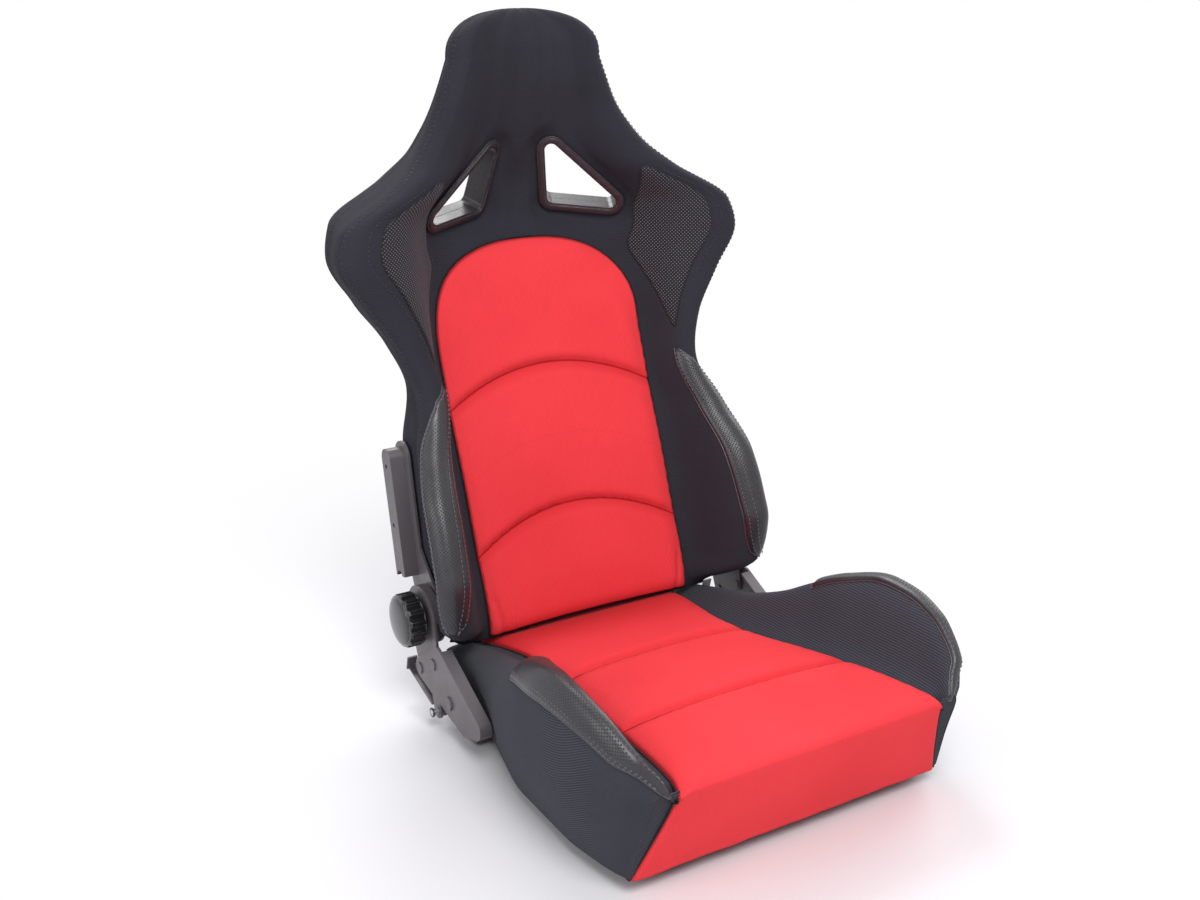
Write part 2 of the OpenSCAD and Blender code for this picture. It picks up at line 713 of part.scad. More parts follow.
// ---- Fold-forward plates, pivots and release lever ------------------------------------------------

flange_x = upper_x + 2;
base_x = plate_x - 1.2;
pin_place = [186.8, 41.8];
pin_r = 3.5;
fold_corners = [[250, 63, 14], [192, 108, 10], [84, 52, 14], [120, 38, 14]];

module fold_outline(g) {
  hull()
    for (c = fold_corners)
      translate([c[0], c[1]]) circle(c[2] + g, $fn = 32);
}

module fold_plate() {
  color(black_paint)
    difference() {
      union() {
        plate(outer_x, skin_x) {
          fold_outline(0);
          hull() {
            translate([lever_y, lever_z]) circle(rod_r + 6, $fn = 32);
            translate([lever_y + 6, lever_z + 30]) circle(12, $fn = 32);
          }
        }
        plate(flange_x, outer_x + 0.5) intersection() {
          difference() {
            fold_outline(0);
            fold_outline(-plate_t);
          }
          polygon([[184, 140], [184, 96], [104, 46], [118, 10], [30, 10], [30, 140]]);
        }
      }
      bore([pivot_y, pivot_z], pivot_r + run_gap);
      bore([lever_y, lever_z], rod_r + run_gap);
      for (p = rivet_places)
        bore(p, 4 + run_gap);
    }
}

module plate_rivets() {
  color(black_paint)
    both()
      for (p = rivet_places)
        translate([lower_x - 2, p[0], p[1]]) rotate([0, 90, 0]) {
          cylinder(r = 4, h = skin_x - lower_x + 2.5, $fn = fine);
          cylinder(r = 6, h = 2, $fn = fine);
          translate([0, 0, skin_x - lower_x + 2]) cylinder(r = rivet_r, h = 2, $fn = fine);
        }
}

module fold_pivots() {
  color(black_paint)
    both() translate([0, pivot_y, pivot_z]) rotate([0, 90, 0]) {
      translate([0, 0, base_x - 2.5]) cylinder(r = pivot_r, h = skin_x - base_x + 3.5, $fn = fine);
      translate([0, 0, base_x - 3]) cylinder(r = pivot_r + 3, h = 3, $fn = fine);
      translate([0, 0, base_x + plate_t]) cylinder(r = pivot_r + 4, h = outer_x - base_x - plate_t - 0.2, $fn = fine);
      translate([0, 0, skin_x + 0.2]) cylinder(r = pivot_r + 3, h = 2.6, $fn = fine);
    }
}

rail_x = bolt_dx / 2 + rail_w / 2;
foot_t = 3;
rail_h = underside_z - 0.3 - foot_t;
tab_t = 3;
bracket_front = 122;
bracket_rear = 190;
bracket_z = 3;
side_bolt_y = [136, 176];
side_bolt_z = 11.6;

// Fixed side bracket: a tab on the rail, a shelf under the cushion and an upright that
// carries the fold pivot and the latch pin
module hinge_base() {
  color(black_paint)
    difference() {
      union() {
        plate(base_x, base_x + plate_t) {
          hull() {
            translate([pivot_y, pivot_z]) circle(17, $fn = 32);
            translate(pin_place) circle(7, $fn = 32);
            translate([bracket_rear - 6, bracket_z + 6]) circle(6, $fn = 32);
            translate([bracket_front + 6, bracket_z + 6]) circle(6, $fn = 32);
          }
        }
        translate([rail_x, bracket_front + 4, bracket_z])
          cube([base_x - rail_x + 1, bracket_rear - bracket_front - 8, tab_t]);
        translate([rail_x, bracket_front + 4, bracket_z])
          cube([tab_t, bracket_rear - bracket_front - 8, rail_h + foot_t - bracket_z]);
      }
      bore([pivot_y, pivot_z], pivot_r + run_gap);
      bore(pin_place, pin_r + run_gap);
      for (y = side_bolt_y)
        translate([rail_x - 10, y, side_bolt_z]) rotate([0, 90, 0]) cylinder(r = 3 + run_gap, h = 20, $fn = fine);
    }
}

module latch_pins() {
  color(zinc)
    both() translate([0, pin_place[0], pin_place[1]]) rotate([0, 90, 0]) {
      translate([0, 0, base_x - 1]) cylinder(r = pin_r, h = 12, $fn = fine);
      translate([0, 0, base_x - 2.5]) cylinder(r = 6, h = 2.5, $fn = fine);
    }
}

module base_bolts() {
  color(zinc)
    both()
      for (y = side_bolt_y)
        translate([0, y, side_bolt_z]) rotate([0, 90, 0]) {
          translate([0, 0, rail_x - rail_wall - 6]) cylinder(r = 3, h = rail_wall + tab_t + 6.5, $fn = fine);
          translate([0, 0, rail_x + tab_t]) cylinder(r = 5, h = 3.5, $fn = fine);
          translate([0, 0, rail_x - rail_wall - 4.5]) cylinder(r = 4.3, h = 4.5, $fn = 6);
        }
}

lever_in = base_x + plate_t + 1.4;
lever_tilt = 15.5;
lever_out = drum_x;

// Folded strip with a finger tab at its end and a latch nose on its hub
module release_lever() {
  color(black_paint)
    difference() {
      translate([0, lever_y, lever_z]) {
        rotate([0, 90, 0]) translate([0, 0, lever_in]) cylinder(r = rod_r + 3.4, h = lever_out - lever_in, $fn = fine);
        rotate([lever_tilt, 0, 0]) {
          plate(lever_out - plate_t, lever_out) hull() {
            circle(rod_r + 4.4, $fn = 32);
            translate([lever_len - 6, 2]) circle(4, $fn = 32);
          }
          translate([lever_out - plate_t, 18, -5]) cube([skin_x - lever_out + plate_t, lever_len - 18, 2.5]);
          translate([lever_out - plate_t, lever_len - 2.5, -5]) cube([skin_x - lever_out + plate_t + 3, 2.5, 20]);
        }
        plate(lever_in, lever_in + 5) hull() {
          circle(3, $fn = 32);
          translate([-9.7, 7.4]) circle(1.5, $fn = 32);
        }
      }
      bore([lever_y, lever_z], rod_r + 0.03);
    }
}

module release_rod() {
  color(zinc)
    translate([-skin_x - 9, lever_y, lever_z]) rotate([0, 90, 0])
      cylinder(r = rod_r, h = 2 * skin_x + 18, $fn = fine);
}

module rod_clips() {
  color(black_plastic)
    both() translate([skin_x + 7, lever_y, lever_z]) rotate([0, 90, 0])
      difference() {
        cylinder(r = rod_r + 2.5, h = 1.6, $fn = fine);
        translate([0, 0, -1]) cylinder(r = rod_r + 0.03, h = 4, $fn = fine);
      }
}

spring_turns = 3.5;
spring_rings = 8;
spring_sides = 6;
spring_wire_r = 0.4;
spring_coil_r = rod_r + 1.3;

// Round wire swept along a helix round the rod
module lever_spring() {
  n = spring_turns * spring_rings;
  pitch = (5.6 - 2 * spring_wire_r) / spring_turns;
  echo("least gap between the turns", pitch - 2 * spring_wire_r);
  points = [for (i = [0:n], k = [0:spring_sides - 1])
    let (a = 360 * i / spring_rings, b = 360 * k / spring_sides, r = spring_coil_r + spring_wire_r * cos(b))
    [skin_x + 0.5 + spring_wire_r + pitch * i / spring_rings + spring_wire_r * sin(b),
     lever_y + r * cos(a), lever_z + r * sin(a)]];
  walls = [for (i = [0:n - 1], k = [0:spring_sides - 1], h = [0, 1])
    let (a = i * spring_sides + k, b = i * spring_sides + (k + 1) % spring_sides)
    h == 0 ? [a, a + spring_sides, b] : [b, a + spring_sides, b + spring_sides]];
  ends = [for (e = [0, n], k = [1:spring_sides - 2]) let (o = e * spring_sides)
    e == 0 ? [o, o + k, o + k + 1] : [o, o + k + 1, o + k]];
  polyhedron(points, concat(walls, ends));
}

module lever_springs() {
  color(zinc) both() lever_spring();
}

// ---- Base frame and springs -----------------------------------------------------------------------

rail_front = -212;
rail_rear = 200;
tube_front = -188;
tube_rear = 104;
tube_z = foot_t + rail_h / 2;
nut_r = 7.5;

module at_bolts() {
  for (x = [-1, 1], y = [-1, 1])
    translate([x * bolt_dx / 2, y * bolt_dy / 2, 0]) children();
}

module base_frame() {
  color(black_paint)
    difference() {
      union() {
        both() translate([rail_x - rail_w, rail_front, foot_t]) difference() {
          cube([rail_w, rail_rear - rail_front, rail_h]);
          translate([rail_wall, -1, rail_wall])
            cube([rail_w - 2 * rail_wall, rail_rear - rail_front + 2, rail_h - 2 * rail_wall]);
        }
        at_bolts() cylinder(r = 13, h = foot_t + 0.5, $fn = fine);
        for (y = [tube_front, tube_rear])
          translate([rail_w - rail_x - 0.5, y, tube_z]) rotate([0, 90, 0])
            difference() {
              cylinder(r = tube_r, h = 2 * (rail_x - rail_w) + 1, $fn = fine);
              translate([0, 0, -1]) cylinder(r = tube_r - 1.5, h = 2 * rail_x, $fn = fine);
            }
      }
      at_bolts() translate([0, 0, -1]) cylinder(r = bolt_r, h = foot_t + rail_wall + 2, $fn = fine);
      for (s = [-1, 1], y = side_bolt_y)
        translate([s * rail_x - 5, y, side_bolt_z]) rotate([0, 90, 0]) cylinder(r = 3 + run_gap, h = 10, $fn = fine);
    }
}

module weld_nuts() {
  color(zinc)
    at_bolts() translate([0, 0, foot_t + rail_wall]) difference() {
      cylinder(r = nut_r, h = 6.5, $fn = 6);
      translate([0, 0, -1]) cylinder(r = bolt_r, h = 9, $fn = fine);
    }
}

loop_r = 11;
loop_leg = 20;
loop_count = floor((tube_rear - tube_front) / (2 * loop_r)) - 1;
spring_z = tube_z + tube_r + 0.4;
spring_pitch = 58;
spring_start = (tube_rear + tube_front - (loop_count - 1) * 2 * loop_r) / 2;

// One sinuous spring along Y: straight legs joined by half rings on alternate sides
module sinuous_spring() {
  for (i = [0:loop_count - 1])
    translate([i % 2 == 0 ? loop_leg : -loop_leg, spring_start + i * 2 * loop_r, 0])
      rotate(i % 2 == 0 ? -90 : 90)
        rotate_extrude(angle = 180, $fn = 32) translate([loop_r, 0]) circle(wire_r, $fn = 24);
  for (i = [0:loop_count])
    translate([-loop_leg, spring_start + (2 * i - 1) * loop_r, 0]) rotate([0, 90, 0])
      cylinder(r = wire_r, h = 2 * loop_leg, $fn = 24);
}

module seat_springs() {
  color(zinc)
    for (i = [0:spring_count - 1])
      translate([(i - (spring_count - 1) / 2) * spring_pitch, 0, spring_z + wire_r])
        sinuous_spring();
}

// Clips that hook the end legs of each spring to the cross tubes
module spring_clips() {
  color(black_paint)
    for (i = [0:spring_count - 1], e = [-1, 1])
      let (leg = e < 0 ? spring_start - loop_r : spring_start + (2 * loop_count - 1) * loop_r,
           tube = e < 0 ? tube_front : tube_rear)
      translate([(i - (spring_count - 1) / 2) * spring_pitch - 6, 0, 0])
        difference() {
          translate([0, min(leg, tube) - 6, tube_z + tube_r - 3]) cube([12, abs(leg - tube) + 12, 3.4 + 2 * wire_r + 2.5]);
          translate([-1, leg - wire_r - 0.05, spring_z - 4]) cube([14, 2 * wire_r + 0.1, 4 + 2 * wire_r + 0.05]);
          translate([-1, tube, tube_z]) rotate([0, 90, 0]) cylinder(r = tube_r + 0.05, h = 14, $fn = fine);
          translate([-1, min(leg, tube) - 20, tube_z]) cube([14, 60, tube_r - 2.9]);
        }
}

// ---- Cushion ------------------------------------------------------------------------------------

crease_y = hinge_y - cushion_depth;
cushion_rear = 258;
lip_t = 8;
front_row = crease_y + 18;

edge_z = [[crease_y, crease_z], [crease_y + 25, crease_z + 5], [-200, crease_z + 2], [-100, 127],
  [0, 112], [100, 101], [150, 97], [200, 90], [cushion_rear, 76]];
crown = [[crease_y, 1], [-230, 10], [-127, 14], [50, 14], [150, 9], [200, 5], [cushion_rear, 2]];
pad_half = [[crease_y, 186], [-250, 180], [-150, 168], [-50, 153], [50, 137], [100, 134],
  [150, 138], [200, 146], [cushion_rear, 155]];
ridge_x = [[crease_y, 192], [crease_y + 12, 203], [-250, 222], [-225, 233], [-200, 239],
  [-150, cushion_w / 2 - 19], [-100, cushion_w / 2 - 21], [-50, 228], [0, 213], [50, 200],
  [100, 192], [150, 186], [200, 182], [cushion_rear, 180]];
ridge_z = [[crease_y, crease_z + 2], [crease_y + 12, crease_z + 20], [-250, 177], [-225, 196],
  [-200, bolster_z - 12], [-150, bolster_z - 1], [-120, bolster_z], [-50, bolster_z - 18],
  [0, bolster_z - 43], [50, 149], [100, 127], [150, 111], [200, 97], [cushion_rear, 79]];
side_x = [[crease_y, 205], [-262, 222], [-250, 236], [-225, 247], [-200, 254],
  [-150, cushion_w / 2 - 2], [-110, cushion_w / 2], [-50, cushion_w / 2 - 2],
  [0, cushion_w / 2 - 9], [50, 239], [75, 228], [100, 220], [150, 209], [200, 203],
  [cushion_rear, 198]];
side_z = [[crease_y, 108], [-200, 118], [0, 104], [100, 80], [200, 78], [cushion_rear, 74]];
foot_x = [[crease_y, 221], [-240, 230], [-200, 236], [-120, 243], [-30, 243], [45, 230],
  [75, 222], [105, 214], [150, 202], [cushion_rear, 192]];
under_z = [[140, underside_z], [160, underside_z + 6], [206, 62], [214, 68], [cushion_rear, 70]];
foot_round = 8;
cushion_rows = [crease_y + lip_t, front_row, crease_y + 32, -225, -200, -170, -140, -110, -80,
  -50, -20, 10, 40, 70, 100, 130, 150, 170, 190, 206, 224, 240, 254, cushion_rear];

// Half section of the cushion at y: centre at s = 0, border of the pad at 1, ridge at 2,
// widest line at 3, lower edge at 4 to 5, centre of the underside at 6
function seat_section(y, s) =
  let (zi = along(edge_z, y), xi = along(pad_half, y),
       xr = along(ridge_x, y), zr = along(ridge_z, y),
       xw = along(side_x, y), zw = along(side_z, y),
       xf = along(foot_x, y), zf = along(under_z, y),
       d = xr - xi, f = min(foot_round, (zw - zf) / 3))
  s <= 1 ? [s * xi, zi - pad_edge_t + (along(crown, y) - pad_t + pad_edge_t) * (1 - s * s)] :
  s <= 2 ? bez([xi, zi - pad_edge_t], [xi + 0.5 * d, zi - pad_edge_t], [xr - 0.45 * d, zr], [xr, zr], s - 1) :
  s <= 3 ? bez([xr, zr], [xr + 0.7 * (xw - xr), zr], [xw, zw + 0.6 * (zr - zw)], [xw, zw], s - 2) :
  s <= 4 ? bez([xw, zw], [xw, zw - 0.4 * (zw - zf)], [xf + 0.3 * (xw - xf), zf + f + 0.3 * (zw - zf)], [xf, zf + f], s - 3) :
  s <= 5 ? [xf - f + f * cos(90 * (s - 4)), zf + f - f * sin(90 * (s - 4))] :
  [(xf - f) * (6 - s), zf];

// The front leans: below the crease each section slopes back, and at the very front above it too
lean_end = -150;
function lean(y, z) =
  y + (crease_z - z) * (z < crease_z ? 1 : max(0, min(1, (front_row - y) / (front_row - crease_y - lip_t))))
  * front_slope / (crease_z - underside_z) * max(0, min(1, (lean_end - y) / (lean_end - crease_y)));

function seat_out(y, s) =
  let (e = 0.02, d = seat_section(y, s + e) - seat_section(y, s - e)) [-d[1], d[0]] / norm(d);
function seat_point(y, s, off) =
  let (p = seat_section(y, s) + off * seat_out(y, s)) [p[0], lean(y, p[1]), p[1]];

// The hollow over the springs; the bolsters' foam blocks begin at its sides
cavity_half = 166;
cavity_h = 44;
cavity_front = -206;
cavity_rear = 130;

// Column whose place on the section's top lies above the blocks' joint
function joint_s(y, a = 0.6, b = 1.9, n = 30) =
  let (m = (a + b) / 2)
  n == 0 ? m : seat_section(y, m)[0] < cavity_half ? joint_s(y, m, b, n - 1) : joint_s(y, a, m, n - 1);

function foam_point(y, p) = [p[0], lean(y, p[1]), p[1]];

// Columns of both blocks: each keeps the fold at the pad's border, s = 1, that lies on it
joint_step = 0.12;
function core_columns(e) = let (m = min(1, e - joint_step))
  concat([for (k = [0:6]) m * k / 6], [(m + e) / 2, e]);
function outer_columns(e) = let (m = max(1, e + joint_step))
  concat([e], [for (k = [0:4]) m + (2 - m) * k / 4]);

module seat_cushion() {
  color(black_cloth)
    difference() {
      loft([for (y = cushion_rows) let (e = joint_s(y), zf = along(under_z, y))
        whole([for (p = concat([for (s = core_columns(e)) seat_section(y, s)], [[cavity_half, zf], [0, zf]]))
          foam_point(y, p)])]);
      translate([-cavity_half - 4, cavity_front, 0])
        cube([2 * cavity_half + 8, cavity_rear - cavity_front, cavity_h]);
    }
}

bolster_columns = [2.25, 2.5, 2.75, 3, 3.3, 3.65, 4, 4.5, 5];

module seat_bolster() {
  color(black_cloth)
    loft([for (y = cushion_rows) let (e = joint_s(y), zf = along(under_z, y))
      [for (p = concat([for (s = outer_columns(e)) seat_section(y, s)],
          [for (s = bolster_columns) seat_section(y, s)], [[cavity_half, zf]]))
        foam_point(y, p)]]);
}

seat_leather_lift = 0.8;
seat_leather_rows = [crease_y + 12, crease_y + 25, -225, -200, -170, -140, -110, -80, -50, -25, -10];
seat_leather_in = [[crease_y + 12, 1.9], [-225, 1.80], [-100, 1.76], [-10, 1.74]];
seat_leather_out = [[crease_y + 12, 2.25], [-225, 2.5], [-100, 2.52], [-10, 2.44]];

module seat_leather() {
  color(black_leather) {
    grid = [for (off = [panel_gap + seat_leather_lift + panel_t, panel_gap + seat_leather_lift])
      [for (y = seat_leather_rows)
        [for (s = spread(along(seat_leather_out, y), along(seat_leather_in, y), 6)) seat_point(y, s, off)]]];
    shell(grid[0], grid[1]);
  }
}

seat_channels = [46, -128];
seat_pad_rows = [254, 240, 224, 206, 190, 170, 145, 120, 95, 75, 60, 46, 32, 15, -10, -35, -60, -85, -104,
  -117, -128, -139, -152, -175, -200, -225, -245, crease_y + 18];
seat_pad_cols = [-1, -0.9, -0.72, -0.48, -0.24, 0, 0.24, 0.48, 0.72, 0.9, 1];
front_steps = [0, 0.08, 0.2, 0.4, 0.6, 0.8, 0.93, 1];

function seat_swell(u, y) =
  let (groove = min([for (c = seat_channels) channel(y - c)]),
       border = min(1, (1 - abs(u)) * 8, (cushion_rear - y) / 16))
  pad_edge_t + (pad_t - pad_edge_t) * max(0, min(border, groove));

function lip_half(z) =
  let (t = (crease_z - z) / (crease_z - underside_z))
  along(pad_half, crease_y) + (along(foot_x, crease_y) - along(pad_half, crease_y)) * pow(max(0, t), 0.85);

// Top of the foam under the pad
function foam_top(u, y) = seat_section(y, abs(u))[1] + panel_gap;

module seat_pad() {
  top_out = [for (y = seat_pad_rows) [for (u = seat_pad_cols)
    [u * along(pad_half, y), y, foam_top(u, y) + seat_swell(u, y)]]];
  top_in = [for (y = seat_pad_rows) [for (u = seat_pad_cols)
    [u * (along(pad_half, y) - (u * u == 1 ? 1 : 0)), y, foam_top(u, y)]]];
  z_top = crease_z - 2;
  bend_out = [for (a = [30, 60]) [for (u = seat_pad_cols)
    let (z0 = foam_top(u, crease_y + 10) + pad_t * (1 - u * u) + pad_edge_t * u * u)
    [u * along(pad_half, crease_y), crease_y + 14 - 13 * sin(a), z0 - 9 * (1 - cos(a))]]];
  bend_in = [for (y = [crease_y + 12, crease_y + lip_t]) [for (u = seat_pad_cols)
    [u * (along(pad_half, y) - 1), y - (y < crease_y + 10 ? panel_gap : 0), foam_top(u, y) + 0.2]]];
  front_out = [for (t = front_steps) let (z = z_top - 4 - t * (z_top - 4 - underside_z - 0.7)) [for (u = seat_pad_cols)
    [u * lip_half(z), lean(crease_y, z) - 3 * (1 - u * u) * sin(180 * t), z]]];
  front_in = [for (t = front_steps) let (z = z_top - 9 - t * (z_top - 9 - underside_z - 0.7)) [for (u = seat_pad_cols)
    [u * lip_half(z), lean(crease_y + lip_t - panel_gap, z), z]]];
  color(red_cloth)
    shell(concat(top_out, bend_out, front_out), concat(top_in, bend_in, front_in));
}

// ---- Assembly -------------------------------------------------------------------------------------

module left() {
  mirror([1, 0, 0]) children();
}

base_frame();
weld_nuts();
seat_springs();
spring_clips();
seat_cushion();
left() seat_bolster();  // seat_bolster_left
seat_bolster();  // seat_bolster_right
seat_pad();
left() seat_leather();  // seat_leather_left
seat_leather();  // seat_leather_right
left() hinge_base();  // hinge_base_left
hinge_base();  // hinge_base_right
fold_pivots();
latch_pins();
base_bolts();
left() fold_plate();  // fold_plate_left
fold_plate();  // fold_plate_right
left() recliner_lower();  // recliner_lower_left
recliner_lower();  // recliner_lower_right
plate_rivets();
left() release_lever();  // release_lever_left
release_lever();  // release_lever_right
release_rod();
rod_clips();
lever_springs();
knob();
cross_shaft();
shaft_cap();
left() recliner_upper();  // recliner_upper_left
recliner_upper();  // recliner_upper_right
left() recliner_drum();  // recliner_drum_left
recliner_drum();  // recliner_drum_right
left() upper_arm();  // upper_arm_left
upper_arm();  // upper_arm_right
arm_bolts();
back_frame();
head_frame();
hip_cover();
back_cover();
shoulder_cover();
head_cover();
back_pad();
left() wing_mesh();  // wing_mesh_left
wing_mesh();  // wing_mesh_right
left() back_leather();  // back_leather_left
back_leather();  // back_leather_right
left() slot_bezel();  // slot_bezel_left
slot_bezel();  // slot_bezel_right
left() slot_liner();  // slot_liner_left
slot_liner();  // slot_liner_right
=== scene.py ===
"""Looks of the reclining sports seat: sewn covers, stitching, materials, studio."""

import math

import bmesh
import bpy
import numpy as np
from mathutils import Matrix, Vector


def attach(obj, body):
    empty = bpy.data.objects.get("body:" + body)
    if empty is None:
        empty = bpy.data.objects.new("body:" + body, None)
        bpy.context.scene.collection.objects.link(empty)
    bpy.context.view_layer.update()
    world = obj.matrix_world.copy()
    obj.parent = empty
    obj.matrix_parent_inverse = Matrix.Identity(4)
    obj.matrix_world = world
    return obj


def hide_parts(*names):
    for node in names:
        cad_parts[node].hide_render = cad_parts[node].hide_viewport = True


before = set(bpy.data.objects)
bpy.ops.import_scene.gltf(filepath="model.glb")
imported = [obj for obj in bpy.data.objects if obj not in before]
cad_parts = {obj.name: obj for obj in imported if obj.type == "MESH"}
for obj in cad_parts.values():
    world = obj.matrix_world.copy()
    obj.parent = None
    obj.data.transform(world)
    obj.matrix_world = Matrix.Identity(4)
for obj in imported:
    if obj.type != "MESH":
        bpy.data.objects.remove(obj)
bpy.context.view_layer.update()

MM = 0.001


# ---- Curves of the source, in millimetres ----------------

def curve(stations):
    """Smooth value through stations, level where they turn round, held past both ends."""
    s = np.array(stations, float)
    x, y = s[:, 0], s[:, 1]
    r = np.diff(y) / np.diff(x)
    a, b = r[:-1], r[1:]
    safe = np.where(a * b > 0, a + b, 1)
    g = np.concatenate([[r[0]], np.where(a * b <= 0, 0, 2 * a * b / safe), [r[-1]]])

    def at(v):
        c = np.clip(v, x[0], x[-1])
        i = np.clip(np.searchsorted(x, c, side="right") - 1, 0, len(x) - 2)
        h = x[i + 1] - x[i]
        t = (c - x[i]) / h
        return ((1 + 2 * t) * (1 - t) ** 2 * y[i] + t * (1 - t) ** 2 * h * g[i]
                + t * t * (3 - 2 * t) * y[i + 1] + t * t * (t - 1) * h * g[i + 1])
    return at


def bez(a, b, c, d, t):
    """Cubic Bezier curve from a to d, with its handles at b and c."""
    return (1 - t) ** 3 * a + 3 * (1 - t) ** 2 * t * b + 3 * (1 - t) * t * t * c + t ** 3 * d


def soft(x):
    """Smooth step from 0 to 1, held outside."""
    x = np.clip(x, 0, 1)
    return x * x * (3 - 2 * x)


def ripple(p, scale, seed=0.0):
    """Smooth wandering value from -1 to 1 over points in millimetres."""
    x, y, z = (p[..., i] / scale + seed * (1.3 + i) for i in range(3))
    return (np.sin(x * 2.1 + 1.7 * np.sin(y * 1.3 + z))
            + np.sin(y * 2.3 + 1.4 * np.sin(z * 1.7 + x))
            + np.sin(z * 1.9 + 1.5 * np.sin(x * 1.1 + y))) / 3


# ---- Form of the back ------------------------------------

TOP, HEAD = 897.0, 835.0
HINGE_Y, HINGE_Z, END_R = 248.0, 139.0, 51.0
HIP, WAIST, SHOULDER, NECK, HEAD_HALF = 254.0, 215.0, 302.0, 173.0, 111.0
HIP_Y, WING_Y = 147.0, 306.0
EDGE_ROLL, SIDE_RUN, REAR_ROUND = 24, 32, 18
CROWN_Y, CROWN_RISE, CROWN_POWER = 408, 15, 2.4

half_at = curve([[92, HIP - 54], [105, HIP - 44], [120, HIP - 32], [135, HIP - 16], [152, HIP - 5],
                 [210, HIP], [300, HIP - 4], [360, WAIST + 19], [420, WAIST], [480, WAIST + 17],
                 [540, SHOULDER - 33], [600, SHOULDER], [635, SHOULDER - 9], [690, NECK + 34],
                 [720, NECK], [770, HEAD_HALF + 27], [835, HEAD_HALF]])
ridge_at = curve([[92, 229], [105, 215], [120, 187], [135, HIP_Y + 17], [150, HIP_Y + 6],
                  [210, HIP_Y], [240, HIP_Y + 9], [300, HIP_Y + 37], [360, 234], [420, 272],
                  [480, 293], [540, WING_Y - 3], [600, WING_Y], [660, WING_Y + 10],
                  [690, WING_Y + 22], [720, WING_Y + 42], [780, 366], [850, 368]])
centre_at = curve([[92, 229], [120, 233], [150, 241], [210, 266], [300, 300], [390, 338],
                   [450, 360], [510, 382], [570, 405], [630, 430], [660, 433], [720, 410],
                   [760, 398], [810, 386], [850, 381]])
foot_at = curve([[92, 146], [450, 146], [540, 108], [600, 70], [640, 56], [720, 42], [835, 34]])
inset_at = curve([[92, 16], [420, 16], [600, 24], [835, 22]])
rear_half_at = curve([[92, HIP - 56], [150, HIP - 36], [210, HIP - 31], [340, HIP - 32],
                      [420, WAIST - 10], [480, WAIST + 12], [540, SHOULDER - 34],
                      [600, SHOULDER - 4], [640, SHOULDER - 14], [690, NECK + 36],
                      [720, NECK - 4], [780, HEAD_HALF + 19], [835, HEAD_HALF - 3]])
side_at = curve([[92, 262], [150, 288], [210, 306], [300, 338], [390, 364], [450, 378],
                 [600, 392], [660, 408], [720, 420], [835, 421]])
rear_at = curve([[92, 290], [150, 306], [210, 328], [300, 362], [390, 394], [450, 414],
                 [510, 436], [600, 461], [660, 470], [720, 466], [780, 452], [835, 440]])


def section_raw(z, s):
    """Half section: s is 0 centre, 1 foot of the wing, 2 ridge, 3 side, 5 rear edge, 6 back."""
    w, xf, yr, yc = half_at(z), foot_at(z), ridge_at(z), centre_at(z)
    xr, wr, ys, yb = w - inset_at(z), rear_half_at(z), side_at(z), rear_at(z)
    yo = yr + EDGE_ROLL
    ye = np.minimum(yo + SIDE_RUN, ys - REAR_ROUND)
    reach = 0.55 * (xr - xf)
    u, v, q, p = s - 1, s - 2, (s - 3) / 0.75, np.radians(90 * (s - 4))
    zones = [s <= 1, s <= 2, s <= 3, s <= 3.75, s <= 4, s <= 5]
    x = np.select(zones, [
        s * xf, bez(xf, xf + reach, xr - reach, xr, u), bez(xr, w - 0.45 * (w - xr), w, w, v),
        bez(w, w, wr, wr, q), wr, wr - REAR_ROUND + REAR_ROUND * np.cos(p)],
        bez(wr - REAR_ROUND, 0.8 * wr - REAR_ROUND, 0.62 * wr, 0, s - 5))
    y = np.select(zones, [
        yc - 6 * s * s, bez(yc - 6, yc - 6, yr, yr, u), bez(yr, yr, yr + 0.45 * EDGE_ROLL, yo, v),
        bez(yo, (yo + ye) / 2, (yo + ye) / 2, ye, q),
        ye + (ys - REAR_ROUND - ye) * (s - 3.75) * 4,
        ys - REAR_ROUND + REAR_ROUND * np.sin(p)], bez(ys, ys + 4, yb, yb, s - 5))
    return x, y


def section(z, s):
    """Half section with the round lower end about the hinge and the domed head."""
    x, y = section_raw(np.minimum(z, HEAD + CROWN_RISE), s)
    low = np.where(z < HINGE_Z, np.sqrt(np.maximum(END_R ** 2 - (HINGE_Z - z) ** 2, 0)), 1000)
    up_x = np.clip((z - HEAD) / (TOP - HEAD), 0, 1)
    up_y = np.clip((z - HEAD - CROWN_RISE) / (TOP - HEAD - CROWN_RISE), 0, 1)
    return (x * (1 - up_x ** CROWN_POWER) ** (1 / CROWN_POWER),
            np.minimum(CROWN_Y + (y - CROWN_Y) * np.sqrt(1 - up_y ** 2), HINGE_Y + low))


# ---- Harness slots ---------------------------------------

SLOT_AT = np.array([82.0, 411.0, 663.0])
SLOT_CORNERS = np.array([[-30, 51], [-26, -21], [54, -30]], float)
SLOT_R, SLOT_RIM, REAR_RIM, SLOT_REAR = 9.0, 20.0, 18.0, -24.0
SLOT_REACH = 70
FRONT_ZONES = 3.2
SLOT_TURN = np.array(Matrix.Rotation(math.radians(-24.8), 3, "Z")
                     @ Matrix.Rotation(math.radians(107.9), 3, "X"))


